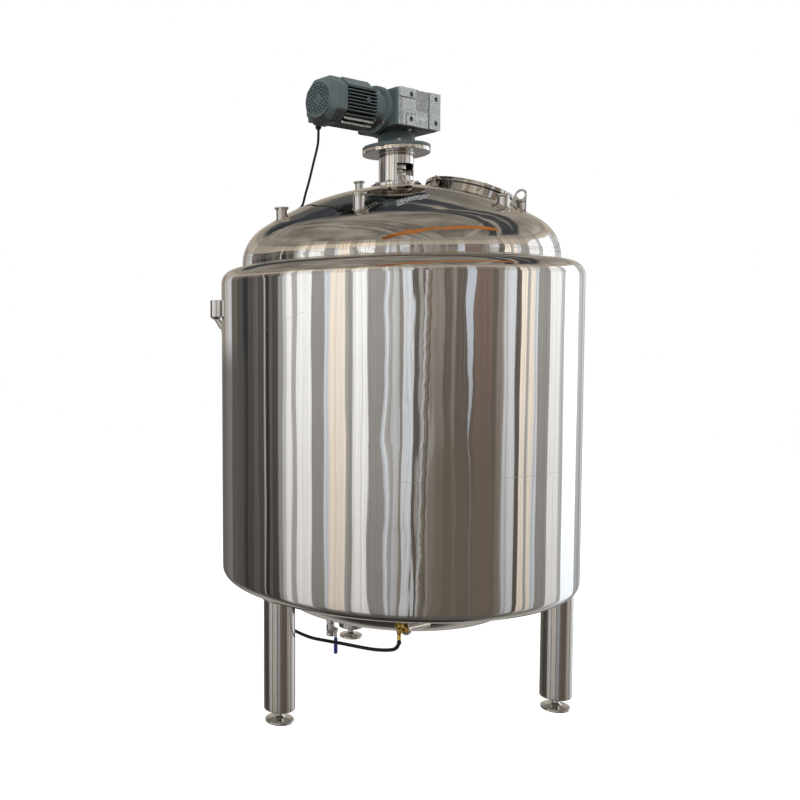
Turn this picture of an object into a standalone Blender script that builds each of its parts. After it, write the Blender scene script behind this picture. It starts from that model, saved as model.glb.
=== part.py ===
"""Stainless jacketed mixing tank on three legs, with a geared motor above its lid.

Metres, +Z up. The origin is on the floor at the tank's axis. The motor points to -Y.
"""
import math

import bmesh
import bpy
from mathutils import Matrix, Vector

GAP = 0.0003

# Jacket
JACKET_RADIUS = 0.650
JACKET_BOTTOM = 0.431
JACKET_TOP = 1.591
JACKET_SHEET = 0.003
CORNER_RADIUS = 0.032
SHOULDER_SEAM = 1.533
SHOULDER_RADIUS = 0.050
SHOULDER_SLOPE = 6.0
FLOOR_SHEET = 0.005
DISH_RADIUS = 0.4615
DISH_KNUCKLE = 0.105
DISH_CROWN = 1.240
JACKET_SIDES = 48
KNUCKLE_STEPS = 3
CROWN_STEPS = 4

# Vessel
VESSEL_RADIUS = 0.570
VESSEL_WALL = 0.005
HEAD_SKIRT = 0.019
HEAD_KNUCKLE = 0.150
HEAD_CROWN = 0.918
VESSEL_BOTTOM_LINE = 0.620
VESSEL_SIDES = 32

# Legs
LEG_CIRCLE = 0.578
LEG_RADIUS = 0.054
LEG_WALL = 0.004
LEG_BOTTOM = 0.045
LEG_AZIMUTHS = (-90.0, 30.0, 150.0)
FOOT_RADIUS = 0.050
FOOT_THICKNESS = 0.012
FOOT_STEM_RADIUS = 0.012

# Neck between the tank and the gearbox
NECK_PAD_RADIUS = 0.0915
NECK_PAD_TOP = 1.884
NECK_FLANGE_THICKNESS = 0.011
NECK_RADIUS = 0.063
NECK_WALL = 0.004
TOP_FLANGE_BOTTOM = 2.008
TOP_FLANGE_RADIUS = 0.123
TOP_FLANGE_THICKNESS = 0.014
WINDOW_BOTTOM = 1.921
WINDOW_TOP = 1.966
WINDOW_HALF_WIDTH = 0.045

# Gearbox and motor; the motor's axis is level and runs along -Y
MOTOR_HEIGHT = 2.151
GEAR_FLANGE_THICKNESS = 0.012
GEAR_HUB_RADIUS = 0.067
GEAR_BOX_X = (-0.092, 0.104)
GEAR_BOX_Y = (-0.112, 0.110)
GEAR_BOX_Z = (2.082, 2.218)
FOOT_FACE_X = 0.114
ADAPTOR_RADIUS = 0.085
MOTOR_REAR = 0.187
COWL_REAR = 0.332
COWL_STEP = 0.378
COWL_FRONT = 0.400
COWL_HALF = 0.078
COWL_FACE_HALF = 0.063
MOTOR_CORE_RADIUS = 0.066
MOTOR_HALF = 0.082
GRILLE_RADIUS = 0.057
TERMINAL_BOX_LOW = (-0.150, -0.305, 2.113)
TERMINAL_BOX_HIGH = (-MOTOR_HALF - GAP, -0.195, 2.203)
GLAND_PLACE = (-0.115, -0.285)
GLAND_DROP = 0.028

# Agitator
SHAFT_RADIUS = 0.020
SHAFT_BOTTOM = 0.480
SHAFT_BORE = 0.028
IMPELLER_RADIUS = 0.200
COUPLING_RADIUS = 0.038

# Manhole, square to the dome
MANHOLE_AZIMUTH = 57.0
MANHOLE_DISTANCE = 0.279
MANHOLE_RADIUS = 0.168
MANHOLE_WALL = 0.006
MANHOLE_RISE = 0.014
LID_RADIUS = 0.174
LID_THICKNESS = 0.013
LID_UNDERSIDE = MANHOLE_RISE + GAP
LID_TOP = LID_UNDERSIDE + LID_THICKNESS
LID_DISH = 0.008
HINGE_ANGLE = 85.0
HINGE_PIN_RADIUS = 0.005
HINGE_BARREL_RADIUS = 0.011
HINGE_BARREL_HALF = 0.018
HINGE_REACH = 0.192
HINGE_HEIGHT = LID_TOP + 0.006
HINGE_EAR = 0.007
CLAMP_ANGLES = (-155.0, -95.0, -35.0)
CLAMP_REACH = 0.190
CLAMP_PIN_RADIUS = 0.005

# Dome nozzles: name, azimuth, distance from the axis, height of the flange's top, pipe and flange radius
NOZZLES = (
    ("nozzle_left", -107.2, 0.464, 1.796, 0.01905, 0.02525),
    ("nozzle_front", -63.0, 0.470, 1.801, 0.01905, 0.02525),
    ("nozzle_right", 2.7, 0.448, 1.802, 0.01905, 0.02525),
    ("nozzle_rear", 173.5, 0.208, 1.940, 0.0165, 0.0225),
)
FERRULE_THICKNESS = 0.0064
NOZZLE_WALL = 0.0030

# Lifting lugs
LUG_AZIMUTHS = (14.6, 194.6)
LUG_DISTANCE = 0.458
LUG_THICKNESS = 0.010
LUG_HOLE_RADIUS = 0.0135
LUG_HOLE_OUT = 0.006
LUG_HOLE_HEIGHT = 0.0455
LUG_HEAD_RADIUS = 0.020

# Jacket inlet at the side: an upright socket on a pipe that slants into the wall
INLET_AZIMUTH = -131.0
INLET_REACH = 0.6725
INLET_PIPE_RADIUS = 0.010
SOCKET_RADIUS = 0.0215
SOCKET_BORE = 0.0145
SOCKET_BOTTOM = 1.417
SOCKET_TOP = 1.478

# Product outlet with its quarter-turn valve, under the dish
DRAIN_PLACE = (-0.0827, -0.2496)
DRAIN_PIPE_RADIUS = 0.0145
DRAIN_PIPE_WALL = 0.0025
VALVE_TOP = 0.2760
VALVE_BOTTOM = 0.2180
VALVE_RADIUS = 0.0165
VALVE_STEM_AZIMUTH = -8.0
LEVER_OFFSET = 0.030
LEVER_THICKNESS = 0.003
LEVER_BOTTOM = 0.156
LEVER_GRIP_TOP = 0.218
LEVER_PIN_RADIUS = 0.0035

# Jacket drain: stub out of the dish, brass elbow with a hose tail, and the hose to a second tail
RING_PLACE = (0.3602, -0.3454, 0.3760)
STUB_AZIMUTH = -95.0
STUB_RADIUS = 0.0125
STUB_LENGTH = 0.100
RING_RADIUS = 0.0225
ELBOW_PLACE = (0.3576, -0.3753, 0.3890)
BARB_BOTTOM = 0.342
BARB_RADIUS = 0.0060
FITTING_PLACE = (-0.170, -0.450)
HOSE_RADIUS = 0.0060
HOSE_ROUTE = (
    (0.3576, -0.3753, BARB_BOTTOM - 0.0020), (0.3570, -0.3753, 0.3300), (0.3500, -0.3764, 0.3160),
    (0.3370, -0.3782, 0.3050), (0.3065, -0.3825, 0.2950), (0.2617, -0.3889, 0.2865),
    (0.2139, -0.3956, 0.2815), (0.1330, -0.4071, 0.2755), (0.0664, -0.4165, 0.2695),
    (-0.0023, -0.4262, 0.2650), (-0.0691, -0.4357, 0.2715), (-0.1150, -0.4425, 0.2850),
    (-0.1470, -0.4468, 0.3050), (-0.1655, -0.4494, 0.3330), (-0.1700, -0.4500, 0.3600),
    (-0.1700, -0.4500, BARB_BOTTOM + 0.0315),
)

# Supply lead of the motor: down to the dome, over its far side and down behind the jacket
LEAD_RADIUS = 0.0045
LEAD_ROUTE = (
    (-0.1150, -0.2850, 2.0845), (-0.1152, -0.2849, 2.0640), (-0.1200, -0.2840, 2.0290),
    (-0.1450, -0.2810, 1.9700), (-0.1710, -0.2770, 1.9120), (-0.1960, -0.2720, 1.8680),
    (-0.2240, -0.2640, 1.8260), (-0.2700, -0.2520, 1.8145), (-0.3300, -0.2370, 1.7972),
    (-0.3900, -0.2220, 1.7750), (-0.4450, -0.2080, 1.7500), (-0.4950, -0.1960, 1.7195),
    (-0.5400, -0.1900, 1.6830), (-0.5800, -0.1930, 1.6380), (-0.6120, -0.2040, 1.6050),
    (-0.6320, -0.2150, 1.5600), (-0.6360, -0.2220, 1.5000), (-0.6340, -0.2280, 1.4000),
    (-0.6290, -0.2400, 1.2000), (-0.6270, -0.2460, 1.0000), (-0.6290, -0.2410, 0.7500),
    (-0.6320, -0.2330, 0.5500), (-0.6330, -0.2300, 0.4350),
)
LEAD_END_LENGTH = 0.045


def clear_scene():
    for item in list(bpy.data.objects):
        bpy.data.objects.remove(item, do_unlink=True)


def material(name, colour, roughness, metallic):
    made = bpy.data.materials.new(name)
    made.use_nodes = True
    shader = made.node_tree.nodes["Principled BSDF"]
    shader.inputs["Base Color"].default_value = (*colour, 1.0)
    shader.inputs["Roughness"].default_value = roughness
    shader.inputs["Metallic"].default_value = metallic
    return made


def polished():
    return material("polished_stainless", (0.62, 0.60, 0.57), 0.10, 1.0)


def satin():
    return material("satin_stainless", (0.55, 0.54, 0.52), 0.35, 1.0)


def grey_paint():
    return material("grey_paint", (0.16, 0.20, 0.21), 0.45, 0.0)


def bare_casting():
    return material("bare_casting", (0.42, 0.44, 0.45), 0.55, 0.6)


def brass():
    return material("brass", (0.72, 0.50, 0.16), 0.25, 1.0)


def blue_sleeve():
    return material("blue_sleeve", (0.01, 0.03, 0.25), 0.4, 0.0)


def black_rubber():
    return material("black_rubber", (0.015, 0.015, 0.016), 0.55, 0.0)


def add(name, mesh_builder, finish):
    """Make one named object from a filled bmesh."""
    bmesh.ops.remove_doubles(mesh_builder, verts=mesh_builder.verts, dist=0.000002)
    bmesh.ops.recalc_face_normals(mesh_builder, faces=mesh_builder.faces)
    mesh = bpy.data.meshes.new(name)
    mesh_builder.to_mesh(mesh)
    mesh_builder.free()
    mesh.shade_smooth()
    mesh.set_sharp_from_angle(angle=math.radians(35.0))
    made = bpy.data.objects.new(name, mesh)
    bpy.context.scene.collection.objects.link(made)
    if finish is not None:
        mesh.materials.append(finish)
    return made


def arc(centre, radius, start, end, steps):
    """Points of an arc in the (r, z) plane, angles in degrees."""
    points = []
    for step in range(steps + 1):
        angle = math.radians(start + (end - start) * step / steps)
        points.append((centre[0] + radius * math.cos(angle), centre[1] + radius * math.sin(angle)))
    return points


def turned_mesh(outline, sides):
    """A closed (r, z) outline turned about Z. A point with r = 0 becomes a pole."""
    built = bmesh.new()
    rings = []
    for radius, height in outline:
        if radius < 1e-6:
            rings.append([built.verts.new((0.0, 0.0, height))])
            continue
        ring = []
        for side in range(sides):
            angle = 2.0 * math.pi * side / sides
            ring.append(built.verts.new((radius * math.cos(angle), radius * math.sin(angle), height)))
        rings.append(ring)
    for index, ring in enumerate(rings):
        follow = rings[(index + 1) % len(rings)]
        if len(ring) == 1 and len(follow) == 1:
            continue
        for side in range(sides):
            other = (side + 1) % sides
            corners = [ring[side % len(ring)], ring[other % len(ring)],
                       follow[other % len(follow)], follow[side % len(follow)]]
            unique = list(dict.fromkeys(corners))
            built.faces.new(unique)
    return built


def turned(name, outline, finish, sides=32):
    return add(name, turned_mesh(outline, sides), finish)


def solid_cylinder(name, radius, low, high, finish, sides=32):
    return turned(name, [(0.0, low), (radius, low), (radius, high), (0.0, high)], finish, sides)


def box(name, low, high, finish):
    built = bmesh.new()
    bmesh.ops.create_cube(built, size=1.0)
    for vertex in built.verts:
        for axis in range(3):
            vertex.co[axis] = low[axis] if vertex.co[axis] < 0 else high[axis]
    return add(name, built, finish)


def extruded(name, outline, low, high, finish):
    """A flat (x, y) outline raised from low to high along Z."""
    built = bmesh.new()
    bottom = [built.verts.new((x, y, low)) for x, y in outline]
    face = built.faces.new(bottom)
    raised = bmesh.ops.extrude_face_region(built, geom=[face])
    for item in raised["geom"]:
        if isinstance(item, bmesh.types.BMVert):
            item.co.z = high
    return add(name, built, finish)


def combine(target, other, operation):
    """Boolean of two objects, written into the target's own mesh."""
    modifier = target.modifiers.new(operation.lower(), "BOOLEAN")
    modifier.operation = operation
    modifier.solver = "EXACT"
    modifier.object = other
    graph = bpy.context.evaluated_depsgraph_get()
    result = bpy.data.meshes.new_from_object(target.evaluated_get(graph), depsgraph=graph)
    target.modifiers.remove(modifier)
    old = target.data
    target.data = result
    result.name = target.name
    bpy.data.meshes.remove(old)
    bpy.data.objects.remove(other, do_unlink=True)
    result.shade_smooth()
    result.set_sharp_from_angle(angle=math.radians(35.0))
    return target


def cut(target, *cutters):
    for cutter in cutters:
        combine(target, cutter, "DIFFERENCE")
    return target


def fuse(target, *others):
    for other in others:
        combine(target, other, "UNION")
    return target


def moved(item, matrix):
    """Carry a mesh to its place, leaving the object's own origin at the world's."""
    item.data.transform(matrix)
    return item


def set_origin(item, point):
    """Put a moving piece's origin on its joint's axis."""
    item.data.transform(Matrix.Translation(-Vector(point)))
    item.location = point


def placed(location, azimuth=0.0, tilt=0.0):
    """A place on the tank: turned to an azimuth, then tilted outwards, in degrees."""
    turn = Matrix.Rotation(math.radians(azimuth), 4, "Z")
    lean = Matrix.Rotation(math.radians(tilt), 4, "Y")
    return Matrix.Translation(location) @ turn @ lean


def on_circle(distance, azimuth, height=0.0):
    angle = math.radians(azimuth)
    return Vector((distance * math.cos(angle), distance * math.sin(angle), height))


def head_join(radius, knuckle, crown):
    """Where a dished head's knuckle meets its crown: polar angle in degrees, crown centre drop."""
    offset = radius - knuckle
    reach = crown - knuckle
    return math.degrees(math.asin(offset / reach)), math.sqrt(reach ** 2 - offset ** 2)


def head_curve(radius, knuckle, crown, steps_knuckle, steps_crown):
    """Dished head from its rim to its pole, as (r, rise above the knuckle's centre line)."""
    join, drop = head_join(radius, knuckle, crown)
    points = arc((radius - knuckle, 0.0), knuckle, 0.0, 90.0 - join, steps_knuckle)
    crown_points = arc((0.0, -drop), crown, 90.0 - join, 90.0, steps_crown)[1:]
    crown_points[-1] = (0.0, crown - drop)
    return points + crown_points


def head_shell(radius, knuckle, crown, skirt, wall):
    """Closed (r, z) outline of a dished head that rises from z = 0."""
    outer = head_curve(radius, knuckle, crown, KNUCKLE_STEPS, CROWN_STEPS)
    inner = head_curve(radius - wall, knuckle - wall, crown - wall, KNUCKLE_STEPS - 1, CROWN_STEPS - 1)
    outer = [(radius, 0.0)] + [(r, skirt + z) for r, z in outer]
    inner = [(radius - wall, 0.0)] + [(r, skirt + z) for r, z in inner]
    return outer + inner[::-1]


def dome_height(distance):
    """Height of the top head's outer face at a distance from the axis."""
    join, drop = head_join(VESSEL_RADIUS, HEAD_KNUCKLE, HEAD_CROWN)
    centre = JACKET_TOP + HEAD_SKIRT - drop
    if distance <= HEAD_CROWN * math.sin(math.radians(join)):
        return centre + math.sqrt(HEAD_CROWN ** 2 - distance ** 2)
    across = distance - (VESSEL_RADIUS - HEAD_KNUCKLE)
    return JACKET_TOP + HEAD_SKIRT + math.sqrt(HEAD_KNUCKLE ** 2 - across ** 2)


def shoulder_turn():
    """Centre (r, z) of the shoulder's knuckle, below the slope that rises to the dome."""
    slope = math.radians(SHOULDER_SLOPE)
    across = JACKET_RADIUS - SHOULDER_RADIUS
    rise = (across + SHOULDER_RADIUS * math.sin(slope) - VESSEL_RADIUS) * math.tan(slope)
    return across, JACKET_TOP - rise - SHOULDER_RADIUS * math.cos(slope)


def make_jacket():
    inner = JACKET_RADIUS - JACKET_SHEET
    corner = (JACKET_RADIUS - CORNER_RADIUS, JACKET_BOTTOM + CORNER_RADIUS)
    wall = [(JACKET_RADIUS, SHOULDER_SEAM - GAP)]
    wall += arc(corner, CORNER_RADIUS, 0.0, -90.0, 3)
    wall += arc(corner, CORNER_RADIUS - JACKET_SHEET, -90.0, 0.0, 2)
    wall += [(inner, SHOULDER_SEAM - GAP)]
    turned("jacket_wall", wall, polished(), JACKET_SIDES)

    turn = shoulder_turn()
    end = 90.0 - SHOULDER_SLOPE
    rim = VESSEL_RADIUS + GAP
    shoulder = [(JACKET_RADIUS, SHOULDER_SEAM)] + arc(turn, SHOULDER_RADIUS, 0.0, end, 4)
    shoulder += [(rim, JACKET_TOP), (rim, JACKET_TOP - JACKET_SHEET)]
    shoulder += arc(turn, SHOULDER_RADIUS - JACKET_SHEET, end, 0.0, 3) + [(inner, SHOULDER_SEAM)]
    turned("jacket_shoulder", shoulder, polished(), JACKET_SIDES)


def make_jacket_bottom():
    """Flat ring and shallow dish in one piece, closing the jacket below."""
    shell = head_shell(DISH_RADIUS, DISH_KNUCKLE, DISH_CROWN, 0.0, FLOOR_SHEET)
    outer = JACKET_RADIUS - CORNER_RADIUS - GAP
    outline = [(r, JACKET_BOTTOM - z) for r, z in shell[1:-1]]
    floor_top = JACKET_BOTTOM + FLOOR_SHEET
    outline += [(DISH_RADIUS - FLOOR_SHEET, floor_top), (outer, floor_top), (outer, JACKET_BOTTOM)]
    return turned("jacket_bottom", outline, satin(), JACKET_SIDES)


def make_vessel():
    outer = VESSEL_RADIUS - 0.002
    inner = VESSEL_RADIUS - VESSEL_WALL
    wall = [(outer, VESSEL_BOTTOM_LINE + GAP), (outer, JACKET_TOP - GAP),
            (inner, JACKET_TOP - GAP), (inner, VESSEL_BOTTOM_LINE + GAP)]
    turned("vessel_wall", wall, satin(), VESSEL_SIDES)
    shell = head_shell(VESSEL_RADIUS, HEAD_KNUCKLE, HEAD_CROWN, HEAD_SKIRT, VESSEL_WALL)
    below = [(r, VESSEL_BOTTOM_LINE - z) for r, z in shell]
    bottom = turned("vessel_bottom_head", below, satin(), VESSEL_SIDES)
    top = turned("top_head", [(r, JACKET_TOP + z) for r, z in shell], polished(), JACKET_SIDES)
    return top, bottom


def make_legs():
    for number, azimuth in enumerate(LEG_AZIMUTHS, start=1):
        top = JACKET_BOTTOM - GAP
        inner = LEG_RADIUS - LEG_WALL
        base = LEG_BOTTOM + 0.006
        tube = [(0.0, LEG_BOTTOM), (LEG_RADIUS, LEG_BOTTOM), (LEG_RADIUS, top), (inner, top),
                (inner, base), (0.0, base)]
        leg = turned(f"leg_{number}", tube, satin(), 20)
        moved(leg, placed(on_circle(LEG_CIRCLE, azimuth), azimuth))
        rim = FOOT_RADIUS
        stem = FOOT_STEM_RADIUS
        foot_outline = [(0.0, 0.0), (rim, 0.0), (rim, FOOT_THICKNESS - 0.002),
                        (stem + 0.008, FOOT_THICKNESS + 0.006), (stem, FOOT_THICKNESS + 0.010),
                        (stem, LEG_BOTTOM - GAP), (0.0, LEG_BOTTOM - GAP)]
        foot = turned(f"leg_foot_{number}", foot_outline, satin(), 20)
        moved(foot, placed(on_circle(LEG_CIRCLE, azimuth), azimuth))


def make_neck(top_head):
    bore = SHAFT_BORE
    sunk = dome_height(NECK_PAD_RADIUS) - 0.010
    pad = turned("neck_pad", [(bore, sunk), (NECK_PAD_RADIUS, sunk), (NECK_PAD_RADIUS, NECK_PAD_TOP),
                              (bore, NECK_PAD_TOP)], polished(), 32)
    cut(pad, dome_copy(GAP))
    low = NECK_PAD_TOP + GAP
    middle = low + NECK_FLANGE_THICKNESS
    top = TOP_FLANGE_BOTTOM - GAP
    inner = NECK_RADIUS - NECK_WALL
    neck = turned("lantern_neck", [(inner, low), (NECK_PAD_RADIUS, low), (NECK_PAD_RADIUS, middle),
                                   (NECK_RADIUS, middle), (NECK_RADIUS, top), (inner, top)], polished(), 32)
    reach = NECK_RADIUS + 0.02
    window = box("window", (-reach, -WINDOW_HALF_WIDTH, WINDOW_BOTTOM),
                 (reach, WINDOW_HALF_WIDTH, WINDOW_TOP), None)
    cut(neck, window)
    flange_top = TOP_FLANGE_BOTTOM + TOP_FLANGE_THICKNESS
    turned("lantern_top_flange", [(inner, TOP_FLANGE_BOTTOM), (TOP_FLANGE_RADIUS, TOP_FLANGE_BOTTOM),
                                  (TOP_FLANGE_RADIUS, flange_top), (inner, flange_top)], polished(), 36)
    cut(top_head, solid_cylinder("shaft_hole", bore, 1.80, 1.95, None, 24))


def dome_copy(grown):
    """A solid of the space under the top head, a little grown, for trimming what sits on it."""
    curve = head_curve(VESSEL_RADIUS, HEAD_KNUCKLE, HEAD_CROWN, KNUCKLE_STEPS, CROWN_STEPS)
    base = JACKET_TOP + HEAD_SKIRT + grown
    outline = [(0.0, JACKET_TOP), (VESSEL_RADIUS, JACKET_TOP)] + [(r, base + z) for r, z in curve]
    return turned("dome_copy", outline, None, JACKET_SIDES)


def make_gearbox():
    low = TOP_FLANGE_BOTTOM + TOP_FLANGE_THICKNESS + GAP
    disc_top = low + GEAR_FLANGE_THICKNESS
    under = GEAR_BOX_Z[0] - GAP
    inner = NECK_RADIUS - NECK_WALL
    turned("gearbox_flange", [(inner, low), (TOP_FLANGE_RADIUS, low), (TOP_FLANGE_RADIUS, disc_top),
                              (GEAR_HUB_RADIUS + 0.006, disc_top), (GEAR_HUB_RADIUS, disc_top + 0.006),
                              (GEAR_HUB_RADIUS, under), (inner - 0.012, under), (inner - 0.012, low + 0.02),
                              (inner, low + 0.02)], grey_paint(), 36)
    housing = box("gearbox_housing", (GEAR_BOX_X[0], GEAR_BOX_Y[0], GEAR_BOX_Z[0]),
                  (GEAR_BOX_X[1], GEAR_BOX_Y[1], GEAR_BOX_Z[1]), grey_paint())
    bevel = housing.modifiers.new("bevel", "BEVEL")
    bevel.width = 0.010
    bevel.segments = 2
    bevel.limit_method = "ANGLE"
    make_foot_face()


def make_foot_face():
    """Bare machined face with two raised blocks, four blind bores and corner steps."""
    low_x = GEAR_BOX_X[1] + GAP
    low_z = GEAR_BOX_Z[0] + 0.003
    high_z = GEAR_BOX_Z[1] - 0.003
    depth = FOOT_FACE_X - low_x
    groove = FOOT_FACE_X - 0.004
    outline = [(low_x, -0.109), (FOOT_FACE_X, -0.109), (FOOT_FACE_X, -0.027), (groove, -0.027),
               (groove, 0.049), (FOOT_FACE_X, 0.049), (FOOT_FACE_X, 0.108), (low_x, 0.108)]
    plate = extruded("gearbox_foot_face", outline, low_z, high_z, bare_casting())
    notch = box("notch", (FOOT_FACE_X - 0.003, -0.115, 2.110), (FOOT_FACE_X + 0.01, -0.078, 2.192), None)
    cut(plate, notch)
    for along in (-0.050, 0.083):
        for height in (2.108, 2.194):
            bore = solid_cylinder("bore", 0.006, -0.02, depth - 0.003, None, 8)
            inwards = Matrix.Rotation(-math.pi / 2, 4, "Y")
            moved(bore, Matrix.Translation((FOOT_FACE_X, along, height)) @ inwards)
            cut(plate, bore)


def along_motor(distance):
    """Frame whose Z runs along -Y from the motor's axis at a distance from the tank's axis."""
    return Matrix.Translation((0.0, -distance, MOTOR_HEIGHT)) @ Matrix.Rotation(math.pi / 2, 4, "X")


def octagon(half, corner):
    return [(half, -half + corner), (half, half - corner), (half - corner, half), (-half + corner, half),
            (-half, half - corner), (-half, -half + corner), (-half + corner, -half), (half - corner, -half)]


def finned_outline():
    """Cross-section of the motor: a round core with level ribs on its sides, upright ribs above and below."""
    pitch = 0.0115
    rib = 0.0035
    ribs = 10
    side = []
    for index in range(ribs):
        start = (index - ribs / 2) * pitch + (pitch - rib) / 2
        for height, out in ((start, 0), (start, 1), (start + rib, 1), (start + rib, 0)):
            root = math.sqrt(max(MOTOR_CORE_RADIUS ** 2 - height ** 2, 0.0))
            limit = min(MOTOR_HALF, MOTOR_HALF + 0.040 - abs(start + rib / 2))
            side.append((limit if out else root, height))
    right = side
    left = [(-x, -y) for x, y in side]
    upper = []
    for index in range(4):
        start = (1.5 - index) * 0.013
        root = math.sqrt(MOTOR_CORE_RADIUS ** 2 - start ** 2)
        edge = start - 0.0035
        foot = math.sqrt(MOTOR_CORE_RADIUS ** 2 - edge ** 2)
        upper += [(start, root), (start, MOTOR_HALF - 0.004), (edge, MOTOR_HALF - 0.004), (edge, foot)]
    lower = [(-x, -y) for x, y in upper]
    return right + upper + left + lower


def make_motor():
    adaptor = turned("motor_adaptor", [(0.0, 0.0), (ADAPTOR_RADIUS, 0.0), (ADAPTOR_RADIUS, 0.008),
                                       (ADAPTOR_RADIUS - 0.002, 0.010), (ADAPTOR_RADIUS, 0.012),
                                       (ADAPTOR_RADIUS, 0.020), (0.070, 0.024), (0.064, 0.050),
                                       (0.064, 0.0744), (0.0, 0.0744)], grey_paint(), 28)
    moved(adaptor, along_motor(-GEAR_BOX_Y[0] + GAP))
    body = extruded("motor_body", finned_outline(), 0.0, COWL_REAR - MOTOR_REAR - GAP, grey_paint())
    moved(body, along_motor(MOTOR_REAR))
    cowl = make_cowl()
    moved(cowl, along_motor(COWL_REAR))
    make_terminal_box()


def make_cowl():
    """Fan cowl: eight-sided, closing to a round grille ring at its front."""
    built = bmesh.new()
    sections = ((0.0, COWL_HALF, 0.036), (COWL_STEP - COWL_REAR, COWL_HALF, 0.038),
                (COWL_FRONT - COWL_REAR, COWL_FACE_HALF, 0.030))
    rings = []
    for height, half, corner in sections:
        rings.append([built.verts.new((x, y, height)) for x, y in octagon(half, corner)])
    built.faces.new(rings[0])
    built.faces.new(rings[-1])
    for low, high in zip(rings, rings[1:]):
        for side in range(8):
            other = (side + 1) % 8
            built.faces.new((low[side], low[other], high[other], high[side]))
    cowl = add("fan_cowl", built, grey_paint())
    recess = solid_cylinder("recess", GRILLE_RADIUS, COWL_FRONT - COWL_REAR - 0.004, 0.2, None, 32)
    return cut(cowl, recess)


def make_terminal_box():
    case = box("terminal_box", TERMINAL_BOX_LOW, TERMINAL_BOX_HIGH, grey_paint())
    bevel = case.modifiers.new("bevel", "BEVEL")
    bevel.width = 0.006
    bevel.segments = 2
    gland = turned("cable_gland", [(0.0, -GLAND_DROP), (0.007, -GLAND_DROP), (0.011, -0.020), (0.011, -0.012),
                                   (0.013, -0.012), (0.013, 0.0), (0.0, 0.0)], black_rubber(), 12)
    moved(gland, Matrix.Translation((*GLAND_PLACE, TERMINAL_BOX_LOW[2] - GAP)))


def make_agitator():
    solid_cylinder("agitator_shaft", SHAFT_RADIUS, SHAFT_BOTTOM, GEAR_BOX_Z[0] - GAP, satin(), 20)
    inner = SHAFT_RADIUS + GAP
    waist = COUPLING_RADIUS - 0.010
    turned("shaft_coupling", [(inner, 1.905), (COUPLING_RADIUS, 1.905), (COUPLING_RADIUS, 1.935),
                              (waist, 1.938), (waist, 1.946), (COUPLING_RADIUS, 1.949),
                              (COUPLING_RADIUS, 1.982), (inner, 1.982)], satin(), 20)
    hub = turned("impeller", [(inner, 0.490), (0.034, 0.490), (0.034, 0.560), (inner, 0.560)], satin(), 20)
    for index in range(4):
        blade = box("blade", (0.030, -0.003, -0.030), (IMPELLER_RADIUS, 0.003, 0.030), None)
        pitch = Matrix.Rotation(math.radians(45.0), 4, "X")
        moved(blade, placed((0.0, 0.0, 0.525), 90.0 * index) @ pitch)
        fuse(hub, blade)


def manhole_frame():
    tilt = math.degrees(math.asin(MANHOLE_DISTANCE / HEAD_CROWN))
    height = dome_height(MANHOLE_DISTANCE)
    return placed(on_circle(MANHOLE_DISTANCE, MANHOLE_AZIMUTH, height), MANHOLE_AZIMUTH, tilt)


def make_manhole(top_head):
    frame = manhole_frame()
    inner = MANHOLE_RADIUS - MANHOLE_WALL
    collar = turned("manhole_collar", [(inner, -0.036), (MANHOLE_RADIUS, -0.036),
                                       (MANHOLE_RADIUS, MANHOLE_RISE), (inner, MANHOLE_RISE)], polished(), 36)
    moved(collar, frame)
    hole = solid_cylinder("manhole_hole", MANHOLE_RADIUS + GAP, -0.1, 0.1, None, 36)
    cut(top_head, moved(hole, frame))
    make_lid(frame)
    make_hinge_bracket(frame)


def make_lid(frame):
    """Slightly domed lid with its three clamp pins and the hinge strap."""
    edge = MANHOLE_RADIUS - 0.030
    lid = turned("manhole_lid", [(0.0, LID_UNDERSIDE), (LID_RADIUS, LID_UNDERSIDE), (LID_RADIUS, LID_TOP),
                                 (edge, LID_TOP), (edge * 0.6, LID_TOP + 0.6 * LID_DISH),
                                 (0.0, LID_TOP + LID_DISH)], polished(), 36)
    middle = (LID_UNDERSIDE + LID_TOP) / 2
    outwards = Matrix.Translation((0.0, 0.0, middle)) @ Matrix.Rotation(math.pi / 2, 4, "Y")
    for angle in CLAMP_ANGLES:
        pin = solid_cylinder("pin", CLAMP_PIN_RADIUS, LID_RADIUS - 0.010, CLAMP_REACH, None, 10)
        fuse(lid, moved(pin, Matrix.Rotation(math.radians(angle), 4, "Z") @ outwards))
    half = HINGE_BARREL_HALF - 0.002
    strap = box("strap", (LID_RADIUS - 0.060, -half, LID_TOP - 0.004),
                (HINGE_REACH, half, LID_TOP + 0.007), None)
    barrel = solid_cylinder("barrel", HINGE_BARREL_RADIUS, -HINGE_BARREL_HALF, HINGE_BARREL_HALF, None, 20)
    bore = solid_cylinder("bore", HINGE_PIN_RADIUS + 0.0004, -0.05, 0.05, None, 16)
    side = Matrix.Rotation(math.radians(HINGE_ANGLE), 4, "Z")
    lying = side @ hinge_axis()
    fuse(lid, moved(strap, side), moved(barrel, lying))
    cut(lid, moved(bore, lying))
    moved(lid, frame)
    set_origin(lid, (frame @ lying).translation)


def hinge_axis():
    return Matrix.Translation((HINGE_REACH, 0.0, HINGE_HEIGHT)) @ Matrix.Rotation(math.pi / 2, 4, "X")


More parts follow.
